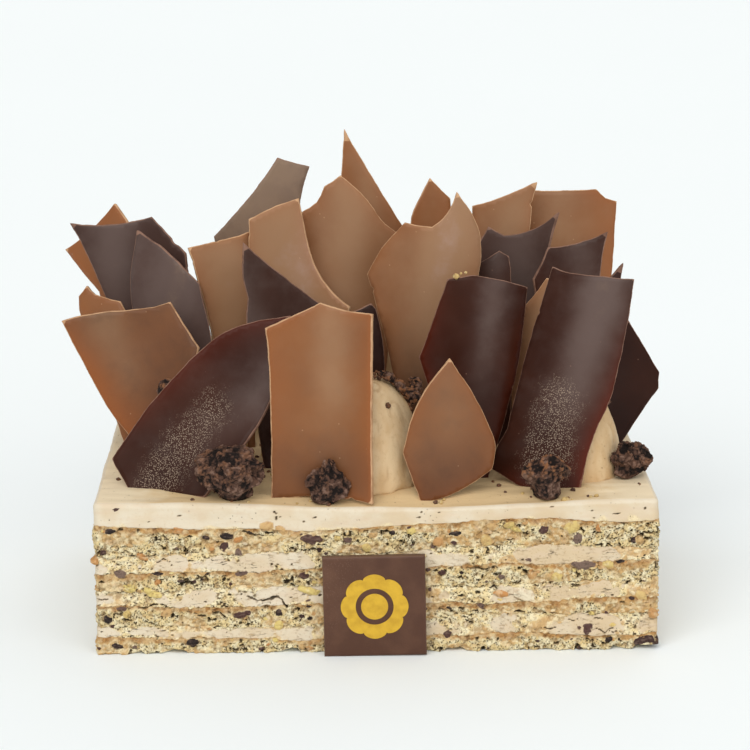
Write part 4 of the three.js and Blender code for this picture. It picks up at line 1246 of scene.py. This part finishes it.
def crumbPiece(name, seed, brown):
    points, triangles = mergedMesh(nodes[name])
    rough = bpy.data.meshes.new(name + "_rough")
    rough.from_pydata(points, [], triangles.tolist())
    holder = bpy.data.objects.new(name + "_rough", rough)
    scene.collection.objects.link(holder)
    remesh = holder.modifiers.new("even", "REMESH")
    remesh.mode = "VOXEL"
    remesh.voxel_size = cocoa["voxel"]
    even = bpy.data.meshes.new_from_object(holder.evaluated_get(bpy.context.evaluated_depsgraph_get()))
    bpy.data.objects.remove(holder)
    bpy.data.meshes.remove(rough)
    spots, normals = np.empty(len(even.vertices) * 3), np.empty(len(even.vertices) * 3)
    even.vertices.foreach_get("co", spots)
    even.vertex_normals.foreach_get("vector", normals)
    spots, normals = spots.reshape(-1, 3), normals.reshape(-1, 3)
    low, high = spots[:, 2].min(), spots[:, 2].max()
    up = (spots[:, 2] - low) / (high - low)
    torn = smoothStep(0.15, 0.7, up + 0.45 * layeredNoise(spots, cocoa["lumpSize"], seed, 2))
    clump = layeredNoise(spots, cocoa["clumpSize"], seed + 2, 4)
    near, _, own = cellParts(warped(spots, 1.2 * mm, 0.7 * mm, seed + 20), cocoa["grainSize"], seed + 4)
    grain = 0.5 - near + 0.8 * (own - 0.5)
    push = cocoa["lumps"] * (layeredNoise(spots, cocoa["lumpSize"], seed + 8, 2) - 0.2)
    push += (0.6 + 0.4 * torn) * (cocoa["clumps"] * clump + cocoa["grains"] * grain)
    push *= smoothStep(-0.2 * mm, 2.5 * mm, spots[:, 2] - low)
    even.vertices.foreach_set("co", (spots + normals * push[:, None]).reshape(-1))
    height = np.clip(0.5 + 0.7 * clump + 0.45 * grain, 0, 1)
    torn = np.clip(torn * brown + max(0, brown - 1), 0, 1)
    addMasks(even, {"height": height, "torn": torn})
    even.update()
    addPiece(name + "_torn", even, cocoaFinish, [name])


for number in range(1, 9):
    crumbPiece(f"crumb_{number}", 200 + number, tornShare.get(number, cocoa["plainBrown"]))


print("loose bits", flush=True)


def bitTree(name, material):  # lumpy bits at the points of a mesh
    tree = bpy.data.node_groups.new(name, "GeometryNodeTree")
    face = tree.interface
    face.new_socket("Geometry", in_out="INPUT", socket_type="NodeSocketGeometry")
    for label, kind in (("Smallest", "Float"), ("Largest", "Float"), ("Seed", "Int")):
        face.new_socket(label, in_out="INPUT", socket_type="NodeSocket" + kind)
    face.new_socket("Geometry", in_out="OUTPUT", socket_type="NodeSocketGeometry")

    def node(kind, settings=None, sockets=None, output=0):
        made = tree.nodes.new(kind)
        for key, value in (settings or {}).items():
            setattr(made, key, value)
        for key, value in (sockets or {}).items():
            if isinstance(value, bpy.types.NodeSocket):
                tree.links.new(value, made.inputs[key])
            else:
                made.inputs[key].default_value = value
        return made.outputs[output]

    def vector(operation, sockets):
        return node("ShaderNodeVectorMath", {"operation": operation}, sockets)

    def chance(kind, low, high, output):  # a random value for each bit
        sockets = {**low, **high, "Seed": start.outputs["Seed"]}
        return node("FunctionNodeRandomValue", {"data_type": kind}, sockets, output)

    start = tree.nodes.new("NodeGroupInput")
    shapes = tree.nodes.new("GeometryNodeJoinGeometry")
    for k in range(4):  # four shapes, roughened alike at different places
        ball = node("GeometryNodeMeshIcoSphere", None, {"Radius": 0.5, "Subdivisions": 2})
        shift = vector("ADD", {0: node("GeometryNodeInputPosition"), 1: (3.7 * k, 1.9 * k, 0.8 * k)})
        rough = node("ShaderNodeTexNoise", None, {"Vector": shift, "Scale": 3.4, "Detail": 2.0}, "Color")
        centred = vector("SUBTRACT", {0: rough, 1: (0.5, 0.5, 0.5)})
        offset = vector("SCALE", {0: centred, "Scale": 0.9})
        lump = node("GeometryNodeSetPosition", None, {"Geometry": ball, "Offset": offset})
        tree.links.new(node("GeometryNodeGeometryToInstance", None, {0: lump}), shapes.inputs[0])
    turn = chance("FLOAT_VECTOR", {0: (0, 0, 0)}, {1: (6.28, 6.28, 6.28)}, 0)
    size = chance("FLOAT", {2: start.outputs["Smallest"]}, {3: start.outputs["Largest"]}, 1)
    sockets = {"Points": start.outputs["Geometry"], "Instance": shapes.outputs[0], "Pick Instance": True}
    laid = node("GeometryNodeInstanceOnPoints", None, {**sockets, "Rotation": turn, "Scale": size})
    real = node("GeometryNodeRealizeInstances", None, {"Geometry": laid})
    painted = node("GeometryNodeSetMaterial", None, {"Geometry": real, "Material": material})
    end = tree.nodes.new("NodeGroupOutput")
    tree.links.new(painted, end.inputs[0])
    return tree


def scatterPiece(name, spots, sizes, seed, material, masks):
    cloud = bpy.data.meshes.new(name + "_spots")
    cloud.from_pydata(spots, [], [])
    holder = bpy.data.objects.new(name + "_spots", cloud)
    scene.collection.objects.link(holder)
    modifier = holder.modifiers.new("bits", "NODES")
    modifier.node_group = bitTree(name + "_tree", material)
    items = modifier.node_group.interface.items_tree
    inputs = {item.name: item.identifier for item in items if item.in_out == "INPUT"}
    modifier[inputs["Smallest"]], modifier[inputs["Largest"]] = sizes
    modifier[inputs["Seed"]] = seed
    mesh = bpy.data.meshes.new_from_object(holder.evaluated_get(bpy.context.evaluated_depsgraph_get()))
    bpy.data.objects.remove(holder)
    bpy.data.meshes.remove(cloud)
    addMasks(mesh, {maskName: np.full(len(mesh.vertices), value) for maskName, value in masks.items()})
    addPiece(name, mesh, material)


bits = dict(
    cocoaCount=170, cocoaSize=(0.7, 2.1), nutCount=26, nutSize=(0.8, 2.2), spread=8,
    # single bits that lie by themselves, in mm
    cocoaSpots=[
        (44, -47), (46, -54), (42, -43), (21, -61), (68, -61), (75, -60), (-44, -8), (-42, -17), (-39, -28),
        (-41, -33),
    ],
    nutSpots=[
        (23, -61), (24, -59), (69.2, -62.8), (66.5, -62.6), (67.4, -62.2), (78, -60), (76, -61), (-76.5, -29),
        (-38, -31),
    ],
    margin=3 * mm, raised=0.15 * mm, lowest=50 * mm, footBelow=58 * mm, footFront=2 * mm,
    crumble=dict(middle=(10, -33), spread=5, count=70),
    flakes=[(29.5, -24.6, 128.0), (31.2, -24.4, 128.9), (33.0, -24.2, 129.2)],
)


def restingPlaces(spots):  # spots of the plan, put down on the domes or the cream
    places = []
    trees = [solidTree(name) for name in ["cream_top"] + [f"dome_{k}" for k in range(1, 10)]]
    for x, y in spots:
        hits = [tree.ray_cast(Vector((x, y, block["over"])), Vector((0, 0, -1)))[0] for tree in trees]
        heights = [hit.z for hit in hits if hit is not None and hit.z > bits["lowest"]]
        if heights:
            places.append((x, y, max(heights) + bits["raised"]))
    return places


def nearFeet(rng, count):  # round the lumps and the feet of the sheets
    feet = []
    for name in sorted(nodes):
        if name.startswith(("crumb_", "milk_", "dark_", "grey_")):
            low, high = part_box(name)
            middle = (low + high) / 2
            if low.z < bits["footBelow"]:
                feet.append((middle.x, middle.y if name.startswith("crumb_") else low.y + bits["footFront"]))
    spots = np.array(feet)[rng.integers(0, len(feet), count)] + rng.normal(0, bits["spread"] * mm, (count, 2))
    limits = np.array([block["halfWidth"], block["halfDepth"]]) - bits["margin"]
    return spots[np.all(np.abs(spots) < limits, axis=1)].tolist()


def metres(spots):
    return (np.array(spots) * mm).tolist()


bitsRng = np.random.default_rng(21)
crumble = bits["crumble"]
fallen = (np.array(crumble["middle"]) + bitsRng.normal(0, crumble["spread"], (crumble["count"], 2))) * mm
cocoaSpots = nearFeet(bitsRng, bits["cocoaCount"]) + metres(bits["cocoaSpots"]) + fallen.tolist()
nutSpots = nearFeet(bitsRng, bits["nutCount"]) + metres(bits["nutSpots"])
cocoaMasks, nutMasks = {"height": 0.7, "torn": 0.8}, {"nut": 1.0, "tone": 0.7, "rise": 0.8}
cocoaPlaces, nutPlaces = restingPlaces(cocoaSpots), restingPlaces(nutSpots) + metres(bits["flakes"])
scatterPiece("cocoa_bits", cocoaPlaces, metres(bits["cocoaSize"]), 3, cocoaFinish, cocoaMasks)
scatterPiece("nut_bits", nutPlaces, metres(bits["nutSize"]), 5, spongeFinish, nutMasks)


print("plaque", flush=True)
plaqueLook = dict(
    bevel=0.35 * mm, step=0.6 * mm, uneven=0.06 * mm,
    print=0.12 * mm, radius=12 * mm, lobes=8, lobeDepth=0.12, steps=192, band=0.56, disc=0.4,
)


def plaquePiece(name):
    solid, _ = mergedMesh(nodes[name])
    front = solid[solid[:, 1] < solid[:, 1].mean()]

    def corner(right, up):
        return front[np.argmax(front @ (right, 0, up))]

    origin = corner(-1, -1)
    across, rise = corner(1, -1) - origin, corner(-1, 1) - origin
    wide, tall, thick = np.linalg.norm(across), np.linalg.norm(rise), np.ptp(solid[:, 1])
    across, rise = across / wide, rise / tall
    us, vs = (np.linspace(0, size, int(size / plaqueLook["step"])) for size in (wide, tall))
    gu, gv = np.meshgrid(us, vs, indexing="ij")
    edge = np.minimum(np.minimum(gu, wide - gu), np.minimum(gv, tall - gv))
    drop = plaqueLook["bevel"] * (1 - smoothStep(0, plaqueLook["bevel"] * 2, edge))
    frontFace = origin + gu[..., None] * across + gv[..., None] * rise
    backFace = frontFace + (0, thick, 0)
    uneven = plaqueLook["uneven"] * layeredNoise(frontFace, 6 * mm, 3, 2) * smoothStep(0, 2 * mm, edge)
    frontFace[..., 1] += drop + uneven
    backFace[..., 1] -= drop
    # pale dust and painted light towards the upper left, painted shade towards the lower right
    dustAndShade = smoothStep(0.9, -0.1, gu / wide - 0.5 * gv / tall + 0.5)
    points = np.vstack([frontFace.reshape(-1, 3), backFace.reshape(-1, 3)])
    count = gu.size
    nu, nv = gu.shape
    i, j = np.meshgrid(np.arange(nu - 1), np.arange(nv - 1), indexing="ij")
    a = i * nv + j
    quads = np.stack([a, a + nv, a + nv + 1, a + 1], -1).reshape(-1, 4)
    ring = [i * nv for i in range(nu)] + [(nu - 1) * nv + j for j in range(1, nv)]
    ring += [i * nv + nv - 1 for i in range(nu - 2, -1, -1)] + list(range(nv - 2, 0, -1))
    ring = np.array(ring)
    walls = np.stack([ring, ring + count, np.roll(ring, -1) + count, np.roll(ring, -1)], -1)
    polygons = np.vstack([quads, quads[:, ::-1] + count, walls])
    masks = {"edge": np.tile(edge.reshape(-1) / mm, 2), "dustAndShade": np.tile(dustAndShade.reshape(-1), 2)}
    makePiece(name + "_slab", points, polygons.tolist(), plaqueFinish, "plaque", [name], masks)
    goldPiece(origin + across * wide / 2 + rise * tall / 2, across, rise)


def goldPiece(middle, across, rise):  # a printed rosette: a lobed ring round a disc
    lobes, radius, thick, count = (plaqueLook[key] for key in ("lobes", "radius", "print", "steps"))
    around = np.linspace(0, 2 * math.pi, count, endpoint=False)
    lobed = np.abs(np.cos(around * lobes / 2)) ** 0.6
    petal = radius * (1 - plaqueLook["lobeDepth"] + plaqueLook["lobeDepth"] * lobed)

    def loop(reach, level):
        sideways, upright = np.outer(reach * np.sin(around), across), np.outer(reach * np.cos(around), rise)
        return middle + sideways + upright - (0, level, 0)

    band, disc = plaqueLook["band"] * radius, plaqueLook["disc"] * radius
    rings = [loop(band, 0), loop(band, thick), loop(petal, thick), loop(petal, 0)]
    rings += [loop(disc, thick), loop(disc, 0)]
    points = np.vstack(rings + [[middle, middle - (0, thick, 0)]])
    row = np.arange(count)
    faces = []
    for k, n in ((0, 1), (1, 2), (2, 3), (3, 0), (4, 5)):
        a, b = k * count + row, n * count + row
        faces += np.stack([a, np.roll(a, -1), np.roll(b, -1), b], -1).tolist()
    faces += capFaces(4 * count + row, 6 * count + 1, False).tolist()
    faces += capFaces(5 * count + row, 6 * count, True).tolist()
    piece = makePiece("plaque_rosette", points, faces, goldFinish, "plaque")
    piece.data.polygons.foreach_set("use_smooth", np.zeros(len(piece.data.polygons), bool))


plaquePiece("plaque")
